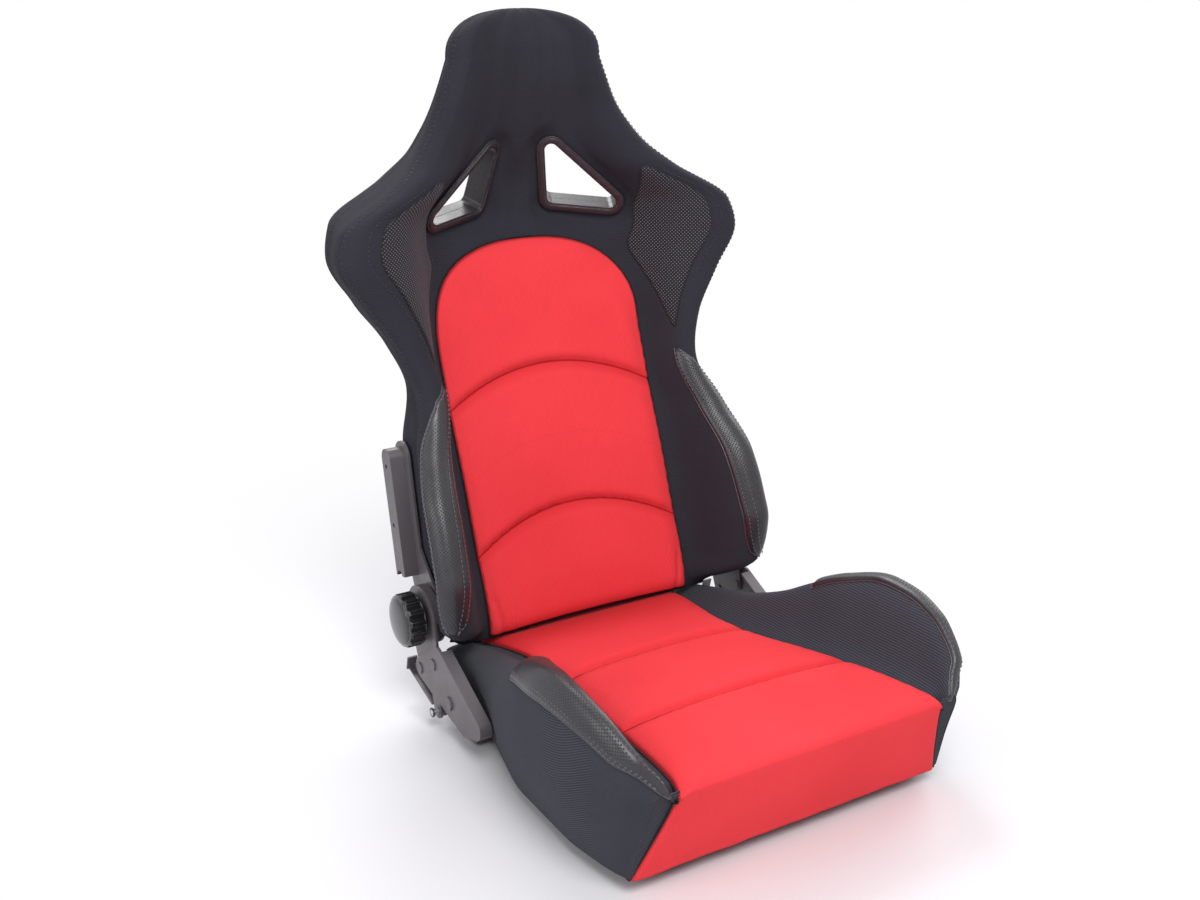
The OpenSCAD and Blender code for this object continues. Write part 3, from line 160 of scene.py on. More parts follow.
def slot_frame(p):
    """Place of mirrored points in the frame of the right slot, and distance from its core."""
    q = np.stack([np.abs(p[..., 0]), p[..., 1], p[..., 2]], -1) - SLOT_AT
    q = q @ SLOT_TURN
    c = SLOT_CORNERS
    d2, inside = None, np.ones(q.shape[:-1], bool)
    for i in range(3):
        a, b = c[i], c[(i + 1) % 3]
        e, w = b - a, q[..., :2] - a
        t = np.clip((w @ e) / (e @ e), 0, 1)
        m = ((w - t[..., None] * e) ** 2).sum(-1)
        d2 = m if d2 is None else np.minimum(d2, m)
        inside &= (e[0] * w[..., 1] - e[1] * w[..., 0]) > 0
    return q, np.where(inside, -1, 1) * np.sqrt(d2)


def settle(p, front):
    """Draws the cover to the bezels: how far each point moves along the slot's axis."""
    q, d = slot_frame(p)
    rim, level = (SLOT_RIM, -0.5) if front else (REAR_RIM, SLOT_REAR + 0.5)
    near = np.abs(q[..., 2] - level) < SLOT_REACH
    w = soft((rim + 20 - d) / 19) * near
    move = w * (level - q[..., 2])
    out = move[..., None] * SLOT_TURN[:, 2]
    out[..., 0] *= np.where(p[..., 0] < 0, -1, 1)
    return out


def back_place(z, s):
    """Point of the cover; s < 0 is the left half."""
    z, s = np.broadcast_arrays(np.asarray(z, float), np.asarray(s, float))
    x, y = section(z, np.abs(s))
    p = np.stack([np.where(s < 0, -x, x), y, z], -1)
    front = (np.abs(s) < FRONT_ZONES)[..., None]
    return p + np.where(front, settle(p, True), settle(p, False))


def with_normal(place):
    """A surface function that also gives its outward direction."""
    def at(r, s):
        e = 0.02
        ds = place(r, s + e) - place(r, s - e)
        dr = place(r + 1.0, s) - place(r - 1.0, s)
        n = np.cross(ds, dr)
        n /= np.maximum(np.linalg.norm(n, axis=-1, keepdims=True), 1e-9)
        return place(r, s), n
    return at


back_at = with_normal(back_place)


# ---- Form of the cushion ---------------------------------

CREASE_Y, CREASE_Z, UNDER, REAR_END, LIP = -275.0, 137.0, 18.3, 258.0, 8.0
CUSHION, BOLSTER = 263.0, 221.0
FRONT_SLOPE, CREASE_HALF, LIP_FLARE = 39, 186, 35

edge_z = curve([[-275, 137], [-250, 142], [-200, 139], [-100, 127], [0, 112], [100, 101],
                [150, 97], [200, 90], [258, 76]])
crown = curve([[-275, 1], [-230, 10], [-127, 14], [50, 14], [150, 9], [200, 5], [258, 2]])
pad_half = curve([[-275, 186], [-250, 180], [-150, 168], [-50, 153], [50, 137], [100, 134],
                  [150, 138], [200, 146], [258, 155]])
ridge_x = curve([[-275, 192], [-263, 203], [-250, 222], [-225, 233], [-200, 239],
                 [-150, CUSHION - 19], [-100, CUSHION - 21], [-50, 228], [0, 213], [50, 200],
                 [100, 192], [150, 186], [200, 182], [258, 180]])
ridge_z = curve([[-275, 139], [-263, 157], [-250, 177], [-225, 196], [-200, BOLSTER - 12],
                 [-150, BOLSTER - 1], [-120, BOLSTER], [-50, BOLSTER - 18], [0, BOLSTER - 43],
                 [50, 149], [100, 127], [150, 111], [200, 97], [258, 79]])
side_x = curve([[-275, 205], [-262, 222], [-250, 236], [-225, 247], [-200, 254],
                [-150, CUSHION - 2], [-110, CUSHION], [-50, CUSHION - 2], [0, CUSHION - 9],
                [50, 239], [75, 230], [100, 224], [150, 217], [200, 212], [258, 205]])
side_z = curve([[-275, 108], [-200, 118], [0, 104], [100, 80], [200, 78], [258, 74]])
foot_x = curve([[-275, 221], [-240, 230], [-200, 236], [-120, 243], [-30, 243], [45, 230],
                [75, 223], [105, 217], [150, 210], [258, 198]])
under_z = curve([[140, UNDER], [160, UNDER + 6], [206, 62], [214, 68], [258, 70]])


def seat_section(y, s):
    """Half section: s is 0 centre, 1 edge of the pad, 2 ridge, 3 side, 4 foot, 6 underside."""
    zi, xi, xr, zr = edge_z(y) - 4, pad_half(y), ridge_x(y), ridge_z(y)
    xw, zw, xf, zf = side_x(y), side_z(y), foot_x(y), under_z(y)
    d, f = xr - xi, np.minimum(8, (zw - zf) / 3)
    q = np.radians(90 * (s - 4))
    zones = [s <= 1, s <= 2, s <= 3, s <= 4, s <= 5]
    x = np.select(zones, [
        s * xi, bez(xi, xi + 0.5 * d, xr - 0.45 * d, xr, s - 1),
        bez(xr, xr + 0.7 * (xw - xr), xw, xw, s - 2),
        bez(xw, xw, xf + 0.3 * (xw - xf), xf, s - 3), xf - f + f * np.cos(q)], (xf - f) * (6 - s))
    z = np.select(zones, [
        zi + (crown(y) - 7) * (1 - s * s), bez(zi, zi, zr, zr, s - 1),
        bez(zr, zr, zw + 0.6 * (zr - zw), zw, s - 2),
        bez(zw, zw - 0.4 * (zw - zf), zf + f + 0.3 * (zw - zf), zf + f, s - 3),
        zf + f - f * np.sin(q)], zf)
    return x, z


def lean(y, z):
    """Depth with the slope of the front face, which runs back towards its lower edge."""
    fall = CREASE_Z - z
    fall = np.where(fall < 0, fall * np.clip((-257 - y) / 10, 0, 1), fall)
    return y + fall * FRONT_SLOPE / (CREASE_Z - UNDER) * np.clip((-150 - y) / 125, 0, 1)


def seat_place(y, s):
    """Point of the cushion's cover; the bolster's front tip is drawn down and back."""
    y, s = np.broadcast_arrays(np.asarray(y, float), np.asarray(s, float))
    x, z = seat_section(y, np.abs(s))
    tip = soft((-250 - y) / 20) * soft((np.abs(s) - 0.7) / 0.3) * soft((2.9 - np.abs(s)) / 0.7)
    return np.stack([np.where(s < 0, -x, x), lean(y, z) + 2 * tip, z - 6.5 * tip], -1)


seat_at = with_normal(seat_place)


def lip_half(z):
    """Half width of the red front face."""
    t = np.clip((CREASE_Z - z) / (CREASE_Z - UNDER), 0, 1)
    return CREASE_HALF + LIP_FLARE * t ** 1.25


# ---- Mesh code -------------------------------------------

def linked(name, data):
    """A new object in the scene."""
    o = bpy.data.objects.new(name, data)
    bpy.context.scene.collection.objects.link(o)
    return o


def mesh_of(name, points, faces, loop_uv, data, mat):
    """A smooth mesh from millimetres: weave coordinates at its corners, values at its points."""
    me = bpy.data.meshes.new(name)
    me.from_pydata((points * MM).tolist(), [], faces)
    me.polygons.foreach_set("use_smooth", np.ones(len(me.polygons), bool))
    me.uv_layers.new(name="UVMap").data.foreach_set(
        "uv", (loop_uv * MM).astype(np.float32).ravel())
    for key, values in data.items():
        me.attributes.new(key, "FLOAT", "POINT").data.foreach_set(
            "value", np.asarray(values, np.float32).ravel())
    me.materials.append(mat)
    return me


def object_of(name, points, faces, uv, body, slot, mat, corners=None, data=None, flip=False):
    """A covering piece that rides on a body."""
    if flip:
        faces = faces[:, ::-1]
    at = (faces if corners is None else corners).ravel()
    me = mesh_of(name, points.reshape(-1, 3), faces.tolist(), uv.reshape(-1, 2)[at], data or {},
                 mat)
    o = linked(name, me)
    me.validate()
    me.update()
    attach(o, body)
    return o


def quads(rows, cols, wrap=False):
    """Faces of a grid, and their corners in a grid one column wider where it wraps."""
    r, c = np.meshgrid(np.arange(rows - 1), np.arange(cols if wrap else cols - 1), indexing="ij")
    r, c = r.ravel(), c.ravel()
    k = cols + 1 if wrap else cols
    n = (c + 1) % cols
    faces = np.stack([r * cols + c, r * cols + n, (r + 1) * cols + n, (r + 1) * cols + c], 1)
    corner = np.stack([r * k + c, r * k + c + 1, (r + 1) * k + c + 1, (r + 1) * k + c], 1)
    return faces, corner


def lengths(p, axis):
    """Running length along an axis of a grid of points."""
    d = np.linalg.norm(np.diff(p, axis=axis), axis=-1)
    pad = [(0, 0), (0, 0)]
    pad[axis] = (1, 0)
    return np.pad(np.cumsum(d, axis=axis), pad)


def border(p):
    """Distance of each grid point from the edge of its panel."""
    a, b = lengths(p, 1), lengths(p, 0)
    return np.minimum(np.minimum(a, a[:, -1:] - a), np.minimum(b, b[-1:] - b))


def seam_line(place, side, lo, hi, s, lift):
    """A line along a surface, lifted off it: points and outward directions."""
    r = np.linspace(lo, hi, 300)
    p, n = place(r, side * s(r))
    return p + lift * n, n


def nearer(lines):
    """Signed distance to the nearer of two sewn lines."""
    return np.where(np.abs(lines[0]) < np.abs(lines[1]), lines[0], lines[1])


def gathered(u):
    """Columns from -1 to 1, closer together towards both edges."""
    return np.sign(u) * (1 - (1 - np.abs(u)) ** 1.15)


def tube(parts, path, out, r, sides=8):
    """Adds a round cord along a path to parts."""
    t = np.gradient(path, axis=0)
    t /= np.maximum(np.linalg.norm(t, axis=1, keepdims=True), 1e-9)
    b = np.cross(t, out)
    b /= np.maximum(np.linalg.norm(b, axis=1, keepdims=True), 1e-9)
    o = np.cross(b, t)
    a = np.linspace(0, 2 * np.pi, sides, endpoint=False)
    ring = path[:, None] + r * (np.cos(a)[None, :, None] * o[:, None]
                                + np.sin(a)[None, :, None] * b[:, None])
    f, _ = quads(len(path), sides, True)
    u = lengths(ring, 0)
    v = np.broadcast_to(a * r, u.shape)
    parts.append((ring.reshape(-1, 3), f, np.stack([u, v], -1).reshape(-1, 2)))


def stitches(parts, path, out, long=4.2, gap=2.0, r=0.55, lift=0.25):
    """Adds a row of sewn stitches along a path: each dips into the cloth at both ends."""
    run = np.concatenate([[0], np.cumsum(np.linalg.norm(np.diff(path, axis=0), axis=1))])
    n = int((run[-1] - long) / (long + gap))
    start = (np.arange(n) + 0.5) * (run[-1] / n) - long / 2
    step = np.array([0.0, 0.1, 0.32, 0.68, 0.9, 1.0])
    wide = np.array([0.35, 0.85, 1.0, 1.0, 0.85, 0.35]) * r
    rise = np.array([-0.9, 0.1, 0.7, 0.7, 0.1, -0.9]) * r + lift
    at = start[:, None] + step[None] * long
    c = np.stack([np.interp(at, run, path[:, i]) for i in range(3)], -1)
    o = np.stack([np.interp(at, run, out[:, i]) for i in range(3)], -1)
    t = c[:, -1:] - c[:, :1]
    t /= np.linalg.norm(t, axis=-1, keepdims=True)
    o -= (o * t).sum(-1, keepdims=True) * t
    o /= np.linalg.norm(o, axis=-1, keepdims=True)
    b = np.cross(t, o)
    a = np.linspace(0, 2 * np.pi, 6, endpoint=False)
    p = (c + rise[None, :, None] * o)[:, :, None] + wide[None, :, None, None] * (
        np.cos(a)[:, None] * o[:, :, None] + np.sin(a)[:, None] * b[:, :, None])
    f, _ = quads(6, 6, True)
    f = (f[None] + 36 * np.arange(n)[:, None, None]).reshape(-1, 4)
    u = np.broadcast_to((step * long)[None, :, None], p.shape[:3])
    v = np.broadcast_to(a * r, p.shape[:3])
    parts.append((p.reshape(-1, 3), f, np.stack([u, v], -1).reshape(-1, 2)))


def gather(name, parts, **how):
    """One object of all the parts."""
    points, faces, uv, base = [], [], [], 0
    for p, f, w in parts:
        points.append(p)
        faces.append(f + base)
        uv.append(w)
        base += len(p)
    object_of(name, np.concatenate(points), np.concatenate(faces), np.concatenate(uv), **how)


def drop_flat_faces(name):
    """Takes out the faces of no area that a grid leaves where its rows close to a point."""
    me = bpy.data.objects[name].data
    bm = bmesh.new()
    bm.from_mesh(me)
    bmesh.ops.dissolve_degenerate(bm, dist=2e-6, edges=bm.edges)
    bm.to_mesh(me)
    bm.free()
    me.update()


# ---- Materials -------------------------------------------

def rgb(r, g, b):
    """Linear colour of a screen colour."""
    def lin(c):
        c /= 255
        return c / 12.92 if c <= 0.04045 else ((c + 0.055) / 1.055) ** 2.4
    return (lin(r), lin(g), lin(b), 1)


def shade(colour, factor):
    """A colour made darker or lighter."""
    return [min(1, c * factor) for c in colour[:3]] + [1]


class Look:
    """A node material."""

    def __init__(self, name):
        self.m = bpy.data.materials.new(name)
        self.m.use_nodes = True
        self.t = self.m.node_tree
        self.b = self.t.nodes["Principled BSDF"]

    def put(self, socket, value):
        if hasattr(value, "is_output"):
            self.t.links.new(value, socket)
        else:
            socket.default_value = value

    def node(self, kind, ins=(), out=0, **props):
        n = self.t.nodes.new(kind)
        for k, v in props.items():
            setattr(n, k, v)
        for k, v in dict(ins).items():
            self.put(n.inputs[k], v)
        return n.outputs[out]

    def set(self, **values):
        for k, v in values.items():
            self.put(self.b.inputs[k.replace("_", " ")], v)

    def math(self, op, a, b=0.0, c=0.0):
        return self.node("ShaderNodeMath", {0: a, 1: b, 2: c}, operation=op)

    def mix(self, f, a, b):
        n = self.t.nodes.new("ShaderNodeMix")
        n.data_type = "RGBA"
        self.put(n.inputs[0], f)
        self.put(n.inputs[6], a)
        self.put(n.inputs[7], b)
        return n.outputs[2]

    def span(self, v, a, b, c=0.0, d=1.0):
        return self.node("ShaderNodeMapRange", {0: v, 1: a, 2: b, 3: c, 4: d},
                         interpolation_type="SMOOTHSTEP")

    def weave(self):
        return self.node("ShaderNodeUVMap", uv_map="UVMap")

    def place(self):
        return self.node("ShaderNodeTexCoord", out=3)

    def parts(self, v):
        n = self.t.nodes.new("ShaderNodeSeparateXYZ")
        self.put(n.inputs[0], v)
        return n.outputs

    def scaled(self, v, k, turn):
        n = self.t.nodes.new("ShaderNodeMapping")
        self.put(n.inputs[0], v)
        n.inputs["Scale"].default_value = (k, k, k)
        n.inputs["Rotation"].default_value = (0, 0, turn)
        return n.outputs[0]

    def noise(self, v, scale, detail, rough=0.5):
        return self.node("ShaderNodeTexNoise", {"Vector": v, "Scale": scale, "Detail": detail,
                                                "Roughness": rough})

    def cells(self, v, scale, random):
        return self.node("ShaderNodeTexVoronoi",
                         {"Vector": v, "Scale": scale, "Randomness": random})

    def attr(self, name):
        return self.node("ShaderNodeAttribute", out=2, attribute_name=name)

    def lines(self, x, pitch, wobble=0.0):
        """0 to 1 and back once for each pitch of x, both in metres."""
        return self.math("MULTIPLY_ADD", self.math("SINE", self.math(
            "MULTIPLY_ADD", x, 2 * math.pi / pitch, wobble)), 0.5, 0.5)

    def bump(self, height, depth, strength, normal=None):
        ins = {"Height": height, "Distance": depth, "Strength": strength}
        if normal is not None:
            ins["Normal"] = normal
        return self.node("ShaderNodeBump", ins)


# in metres
HOLE_PITCH, NET_PITCH, TWIST_PITCH = 0.0034, 0.0036, 0.0009
DOME_R, DOME_X, RING_R = 0.030, -0.297, 0.0262


def cloth(name, main, deep, along_v, pitch, sheen, ribs=0.4, sewn=False):
    """A ribbed cloth: ribs, threads across them, fuzz, faint soiling, dark seams with painted shade
    beside them; where sewn, painted shade along the sewn lines, towards the seat's rear and at the
    foot of the back pad.
    """
    k = Look(name)
    uv = k.weave()
    x, y, _ = k.parts(uv)
    across, length = (x, y) if along_v else (y, x)
    wander = k.math("MULTIPLY", k.noise(uv, 45, 2), 1.6)
    rib = k.lines(across, pitch, wander)
    thread = k.lines(length, pitch * 0.62, wander)
    fuzz = k.noise(uv, 2600, 4, 0.7)
    height = k.math("ADD", k.math("MULTIPLY", rib, 0.7), k.math("ADD", k.math(
        "MULTIPLY", k.math("MULTIPLY", thread, rib), 0.25), k.math("MULTIPLY", fuzz, 0.3)))
    soil_and_painted_shade = k.span(k.noise(k.place(), 5.5, 3), 0.35, 0.75)
    tone = k.mix(k.math("MULTIPLY", soil_and_painted_shade, 0.16), main, deep)
    tone = k.mix(k.math("MULTIPLY", k.math("SUBTRACT", 1.0, rib), ribs), tone, deep)
    tone = k.mix(k.span(fuzz, 0.55, 0.8, 0, 0.12), tone, shade(main, 1.9))
    # darker within a few millimetres of a pad's edge: the dark seam, with painted shade of the cord
    # beside it
    seam = k.span(k.attr("rim"), 0.0, 0.0035, 0.75, 0.0)
    tone = k.mix(seam, tone, shade(deep, 0.25))
    if sewn:
        # painted shade along the sewn lines: a thin dark line for the groove and a softer band
        # beside it
        fold = k.math("ABSOLUTE", k.attr("fold"))
        tone = k.mix(k.span(fold, 0.0003, 0.0022, 0.8, 0.0), tone, shade(deep, 0.4))
        tone = k.mix(k.span(fold, 0.001, 0.016, 0.35, 0.0), tone, deep)
        # painted shade: darker towards the seat's rear under the back, and at the foot of the back
        # pad
        tone = k.mix(k.attr("soil_and_painted_shade"), tone, deep)
    k.set(Base_Color=tone, Roughness=k.math("MULTIPLY_ADD", fuzz, 0.12, 0.84),
          Specular_IOR_Level=0.12, Sheen_Weight=sheen, Sheen_Roughness=0.42,
          Sheen_Tint=[min(1.0, 0.35 + c * 0.8) for c in main[:3]] + [1],
          Normal=k.bump(height, 0.0006, 0.6))
    return k.m


def hide(name, main, holes=True):
    """Grained artificial leather with a staggered perforation inside its stitching."""
    k = Look(name)
    uv = k.weave()
    grain = k.cells(uv, 900, 0.9)
    fine = k.noise(uv, 1500, 3, 0.6)
    crease = k.noise(uv, 60, 4, 0.6)
    height = k.math("ADD", k.math("MULTIPLY", grain, 0.45), k.math("MULTIPLY", fine, 0.3))
    tone = k.mix(k.math("MULTIPLY", crease, 0.35), main, shade(main, 0.55))
    rough = k.math("MULTIPLY_ADD", crease, 0.2, 0.27)
    if holes:
        dots = k.cells(k.scaled(uv, 1 / HOLE_PITCH, math.pi / 4), 1.0, 0.0)
        inside = k.span(k.attr("rim"), 0.0075, 0.0085)
        hole = k.math("MULTIPLY", k.span(dots, 0.33, 0.22), inside)
        tone = k.mix(hole, tone, (0.0015, 0.0015, 0.002, 1))
        height = k.math("SUBTRACT", height, k.math("MULTIPLY", hole, 2.2))
        rough = k.math("MULTIPLY_ADD", hole, 0.4, rough)
    worn = k.math("MULTIPLY", k.attr("ridge"), k.span(crease, 0.4, 0.7))
    tone = k.mix(k.math("MULTIPLY", worn, 0.3), tone, shade(main, 2.2))
    k.set(Base_Color=tone, Roughness=rough, Specular_IOR_Level=0.6,
          Normal=k.bump(k.math("ADD", height, k.math("MULTIPLY", crease, 1.6)), 0.00025, 0.6))
    return k.m


def net(name):
    """Black spacer mesh: rows of open cells with lighter threads at their crossings."""
    k = Look(name)
    uv = k.weave()
    dots = k.cells(k.scaled(uv, 1 / NET_PITCH, math.pi / 4), 1.0, 0.0)
    knot = k.span(dots, 0.30, 0.12)
    fuzz = k.noise(uv, 2200, 3, 0.6)
    tone = k.mix(k.math("MULTIPLY", fuzz, 0.5), rgb(30, 30, 34), rgb(17, 17, 20))
    tone = k.mix(knot, tone, rgb(112, 108, 116))
    seam = k.span(k.attr("rim"), 0.001, 0.005, 0.85, 0.0)
    tone = k.mix(seam, tone, rgb(20, 20, 23))
    height = k.math("ADD", k.span(dots, 0.5, 0.3), k.math("MULTIPLY", fuzz, 0.3))
    k.set(Base_Color=tone, Roughness=0.8, Specular_IOR_Level=0.25, Sheen_Weight=0.15,
          Sheen_Roughness=0.5, Sheen_Tint=(0.5, 0.5, 0.55, 1), Normal=k.bump(height, 0.0005, 0.7))
    return k.m


def hard(name, main, rough, metal=0.0, edge=None, peel=0.5, edge_r=0.0006, scratch=0.0,
         coat=0.0, dome=None):
    """A hard finish: orange peel, smudges, painted highlight along the edges in patches, fine
    scratches.

    dome is the colour of the knob's satin face, which has a groove round it."""
    k = Look(name)
    at = k.place()
    skin = k.noise(at, 420, 2, 0.5)
    smudge = k.noise(at, 24, 4, 0.6)
    round_edge = k.node("ShaderNodeBevel", {"Radius": edge_r}, samples=4)
    flat = k.node("ShaderNodeNewGeometry", out=1)
    turn = k.node("ShaderNodeVectorMath", {0: round_edge, 1: flat}, out=1, operation="DOT_PRODUCT")
    near = k.span(turn, 0.995, 0.90)
    # painted highlight: edges lighter in patches, towards the edge colour
    edge_highlight = k.math("MULTIPLY", near, k.span(k.noise(at, 160, 4, 0.7), 0.42, 0.62, 0.25, 1.0))
    tone = k.mix(k.math("MULTIPLY", smudge, 0.2), main, shade(main, 0.72))
    tone = k.mix(k.math("MULTIPLY", edge_highlight, 0.55), tone, edge or shade(main, 2.0))
    r = k.math("MULTIPLY_ADD", k.span(smudge, 0.3, 0.7), 0.10, rough - 0.04)
    height = k.math("MULTIPLY", skin, peel)
    if dome:
        x, y, z = k.parts(at)
        y, z = k.math("SUBTRACT", y, HINGE_Y * MM), k.math("SUBTRACT", z, HINGE_Z * MM)
        far = k.math("SQRT", k.math("ADD", k.math("MULTIPLY", y, y), k.math("MULTIPLY", z, z)))
        face = k.math("MULTIPLY", k.span(far, DOME_R + 0.0005, DOME_R - 0.0005),
                      k.span(x, DOME_X + 0.001, DOME_X - 0.001))
        tone = k.mix(face, tone, dome)
        ring = k.span(k.math("ABSOLUTE", k.math("SUBTRACT", far, RING_R)), 0.0007, 0.0003)
        ring = k.math("MULTIPLY", ring, face)
        tone = k.mix(k.math("MULTIPLY", ring, 0.75), tone, main)
        r = k.math("MULTIPLY_ADD", face, 0.18, r)
        height = k.math("MULTIPLY_ADD", ring, -3.0, height)
    if scratch:
        streak = k.noise(k.node("ShaderNodeMapping", {0: at, "Scale": (1, 1, 26)}), 180, 2, 0.6)
        height = k.math("ADD", height, k.math("MULTIPLY", streak, scratch))
    k.set(Base_Color=tone, Roughness=r, Metallic=metal, Specular_IOR_Level=0.5, Coat_Weight=coat,
          Coat_Roughness=0.08, Normal=k.bump(height, 0.00012, 0.5, round_edge))
    return k.m


def thread(name, main):
    """Twisted sewing thread."""
    k = Look(name)
    x, y, _ = k.parts(k.weave())
    twist = k.lines(k.math("ADD", x, y), TWIST_PITCH)
    tone = k.mix(k.math("MULTIPLY", twist, 0.5), main, shade(main, 0.4))
    k.set(Base_Color=tone, Roughness=0.6, Specular_IOR_Level=0.3, Sheen_Weight=0.2,
          Sheen_Roughness=0.4, Normal=k.bump(twist, 0.0003, 0.6))
    return k.m


def seam_cord(name):
    """Black cloth folded over a cord."""
    k = Look(name)
    fine = k.noise(k.weave(), 1400, 3)
    tone = k.mix(fine, rgb(26, 25, 29), rgb(13, 13, 15))
    k.set(Base_Color=tone, Roughness=0.85, Specular_IOR_Level=0.2, Sheen_Weight=0.1,
          Normal=k.bump(fine, 0.0003, 0.5))
    return k.m


red = cloth("red_knit", rgb(250, 70, 77), rgb(186, 22, 28), True, 0.0022, 0.08, 0.28, sewn=True)
black = cloth("black_twill", rgb(54, 53, 61), rgb(20, 19, 24), False, 0.0025, 0.06)
ribbed = cloth("black_ribbed", rgb(74, 75, 84), rgb(22, 22, 27), False, 0.0032, 0.10, 0.66)
vinyl = hide("perforated_vinyl", rgb(36, 34, 40))
plain_vinyl = hide("piping_vinyl", rgb(62, 60, 67), holes=False)
spacer = net("spacer_mesh")
grey_thread = thread("grey_thread", rgb(112, 110, 119))
dark_thread = thread("dark_thread", rgb(58, 58, 66))
# the edge colours below are painted highlights along the edges
paint = hard("satin_black_paint", rgb(92, 87, 91), 0.40, edge=rgb(160, 155, 158), scratch=0.15)
gloss = hard("knob_black_plastic", rgb(22, 21, 24), 0.2, edge=rgb(150, 148, 152), peel=0.15,
             edge_r=0.0012, coat=0.3, dome=rgb(112, 108, 111))
mould = hard("moulded_black_plastic", rgb(40, 35, 40), 0.34, edge=rgb(110, 104, 112),
             edge_r=0.0016)
zinc = hard("bright_zinc", rgb(196, 197, 202), 0.3, metal=1.0, peel=0.8, scratch=0.5)
steel = hard("bare_steel", rgb(128, 129, 132), 0.45, metal=1.0, peel=0.8, scratch=0.6)
black_seam = seam_cord("folded_black_seam")

finish = {"back_frame": steel, "head_frame": steel, "knob": gloss, "rod_clips": mould,
          "shaft_cap": mould}
finish.update(dict.fromkeys(("weld_nuts", "seat_springs", "latch_pins", "base_bolts",
                             "release_rod", "lever_springs", "cross_shaft", "arm_bolts"), zinc))
for node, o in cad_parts.items():
    o.data.materials.clear()
    o.data.materials.append(mould if node.startswith("slot_") else finish.get(node, paint))


# ---- Body of the back ------------------------------------

def steps(*runs):
    """Values through runs of (end, count), starting at the first number."""
    out = [runs[0]]
    for end, n in runs[1:]:
        out.extend(np.linspace(out[-1], end, n + 1)[1:])
    return np.array(out)


# Panels: their ends in height, and their edges as places on the section
LEATHER_LOW, LEATHER_TOP, MESH_LOW, MESH_TOP = 149.0, 436.0, 462.0, 690.0
leather_in = curve([[149, 2.1], [165, 1.9], [210, 1.80], [300, 1.76], [400, 1.72], [436, 1.70]])
leather_out = curve([[149, 2.5], [165, 2.76], [210, 2.9], [300, 2.9], [360, 2.78], [400, 2.4],
                     [422, 2.0], [436, 1.76]])
mesh_in = curve([[462, 1.70], [480, 1.62], [510, 1.50], [540, 1.38], [570, 1.31], [600, 1.40],
                 [640, 1.50], [690, 1.80]])
mesh_out = curve([[462, 1.74], [480, 1.78], [510, 1.81], [560, 1.86], [610, 1.92], [650, 1.93],
                  [690, 1.88]])
side_seam = curve([[150, 2.95], [300, 2.95], [436, 2.75], [520, 2.62], [700, 2.66], [835, 2.7],
                   [890, 2.8]])
REAR_SEAM = 4.75
ROW_LOW, HEM_R = 97, 5


def round_up(t):
    """Quarter circle from 0 to 1, held outside."""
    return np.sqrt(1 - (1 - np.clip(t, 0, 1)) ** 2)


def trench(run, at, depth, width):
    """Depth of a sewn line at distance from it."""
    return depth * np.exp(-np.abs(run - at) / width)


def make_back():
    """The black cover of the back, open at the harness slots and closed at both ends."""
    s = steps(0, (1, 14), (2, 38), (3, 14), (4, 16), (5, 6), (6, 56))
    s = np.concatenate([s, -s[-2:0:-1]])
    z = np.concatenate([steps(ROW_LOW, (560, 92), (735, 46), (HEAD, 16)),
                        HEAD + (TOP - HEAD) * np.sin(np.radians(np.linspace(6, 89.4, 22)))])
    p, n = back_at(z[:, None], s[None])
    run = lengths(np.concatenate([p, p[:, :1]], 1), 1)[:, :-1]
    run = np.minimum(run, run[:, -1:] - run)
    seamed = 110
    for rows, depth, at in ((z > 150, 1.7, side_seam(z)), (z > 110, 1.5, REAR_SEAM + 0 * z)):
        line = np.array([np.interp(a, s[:seamed], r) for a, r in zip(at, run[:, :seamed])])
        p = p - n * (trench(run, line[:, None], depth, 2.2) * rows[:, None])[..., None]
    # fuller over the legs of the head's frame, behind the slots
    legs = np.exp(-((np.abs(p[..., 0]) - 22) / 16) ** 2) * np.exp(-((p[..., 2] - 655) / 34) ** 2)
    p[..., 1] -= 5.0 * legs * (p[..., 1] < 440)
    calm = soft((slot_frame(p)[1] - 24) / 14)
    p = p + n * ((0.55 * ripple(p, 46) + 0.25 * ripple(p, 17, 3)) * calm)[..., None]
    lower = []
    for a in np.radians((90, 62, 34)):
        q, m = back_at(np.full((1, 1), float(ROW_LOW)), s[None])
        q = q - m * HEM_R * (1 - math.cos(a))
        q[..., 2] = ROW_LOW - HEM_R * math.sin(a)
        reach = math.sqrt(END_R ** 2 - (HINGE_Z - q[0, 0, 2]) ** 2)
        q[..., 1] = np.clip(q[..., 1], HINGE_Y - reach, HINGE_Y + reach)
        lower.append(q)
    p = np.concatenate(lower + [p])
    rows, cols = p.shape[:2]
    faces, corner = quads(rows, cols, True)
    wide = np.concatenate([p, p[:, :1]], 1)
    u, v = lengths(wide, 1), lengths(wide, 0)
    cut = slot_frame(p.reshape(-1, 3))[1] < SLOT_R + 2
    keep = ~cut[faces].any(1)
    points = np.concatenate([p.reshape(-1, 3), p[:1].mean((0, 1))[None],
                             p[-1:].mean((0, 1))[None]])
    uv = np.concatenate([np.stack([u, v], -1).reshape(-1, 2), [[0, 0]], [[0, v.max()]]])
    ring = np.arange(cols)
    base, top, last = rows * cols, rows * cols + 1, (rows - 1) * cols
    k, wlast = cols + 1, (rows - 1) * (cols + 1)
    nxt = (ring + 1) % cols
    caps = np.concatenate([np.stack([nxt, ring, np.full(cols, base)], 1),
                           np.stack([last + ring, last + nxt, np.full(cols, top)], 1)])
    cap_uv = np.concatenate([
        np.stack([ring + 1, ring, np.full(cols, rows * k)], 1),
        np.stack([wlast + ring, wlast + ring + 1, np.full(cols, rows * k + 1)], 1)])
    corners = np.concatenate([corner[keep].ravel(), cap_uv.ravel()])
    me = mesh_of("back_body", points, faces[keep].tolist() + caps.tolist(), uv[corners],
                 {"rim": np.ones(len(points))}, black)
    o = linked("back_body", me)
    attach(o, "backrest")
    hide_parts("hip_cover", "back_cover", "shoulder_cover", "head_cover")


make_back()


PANEL_EDGE = 4.5


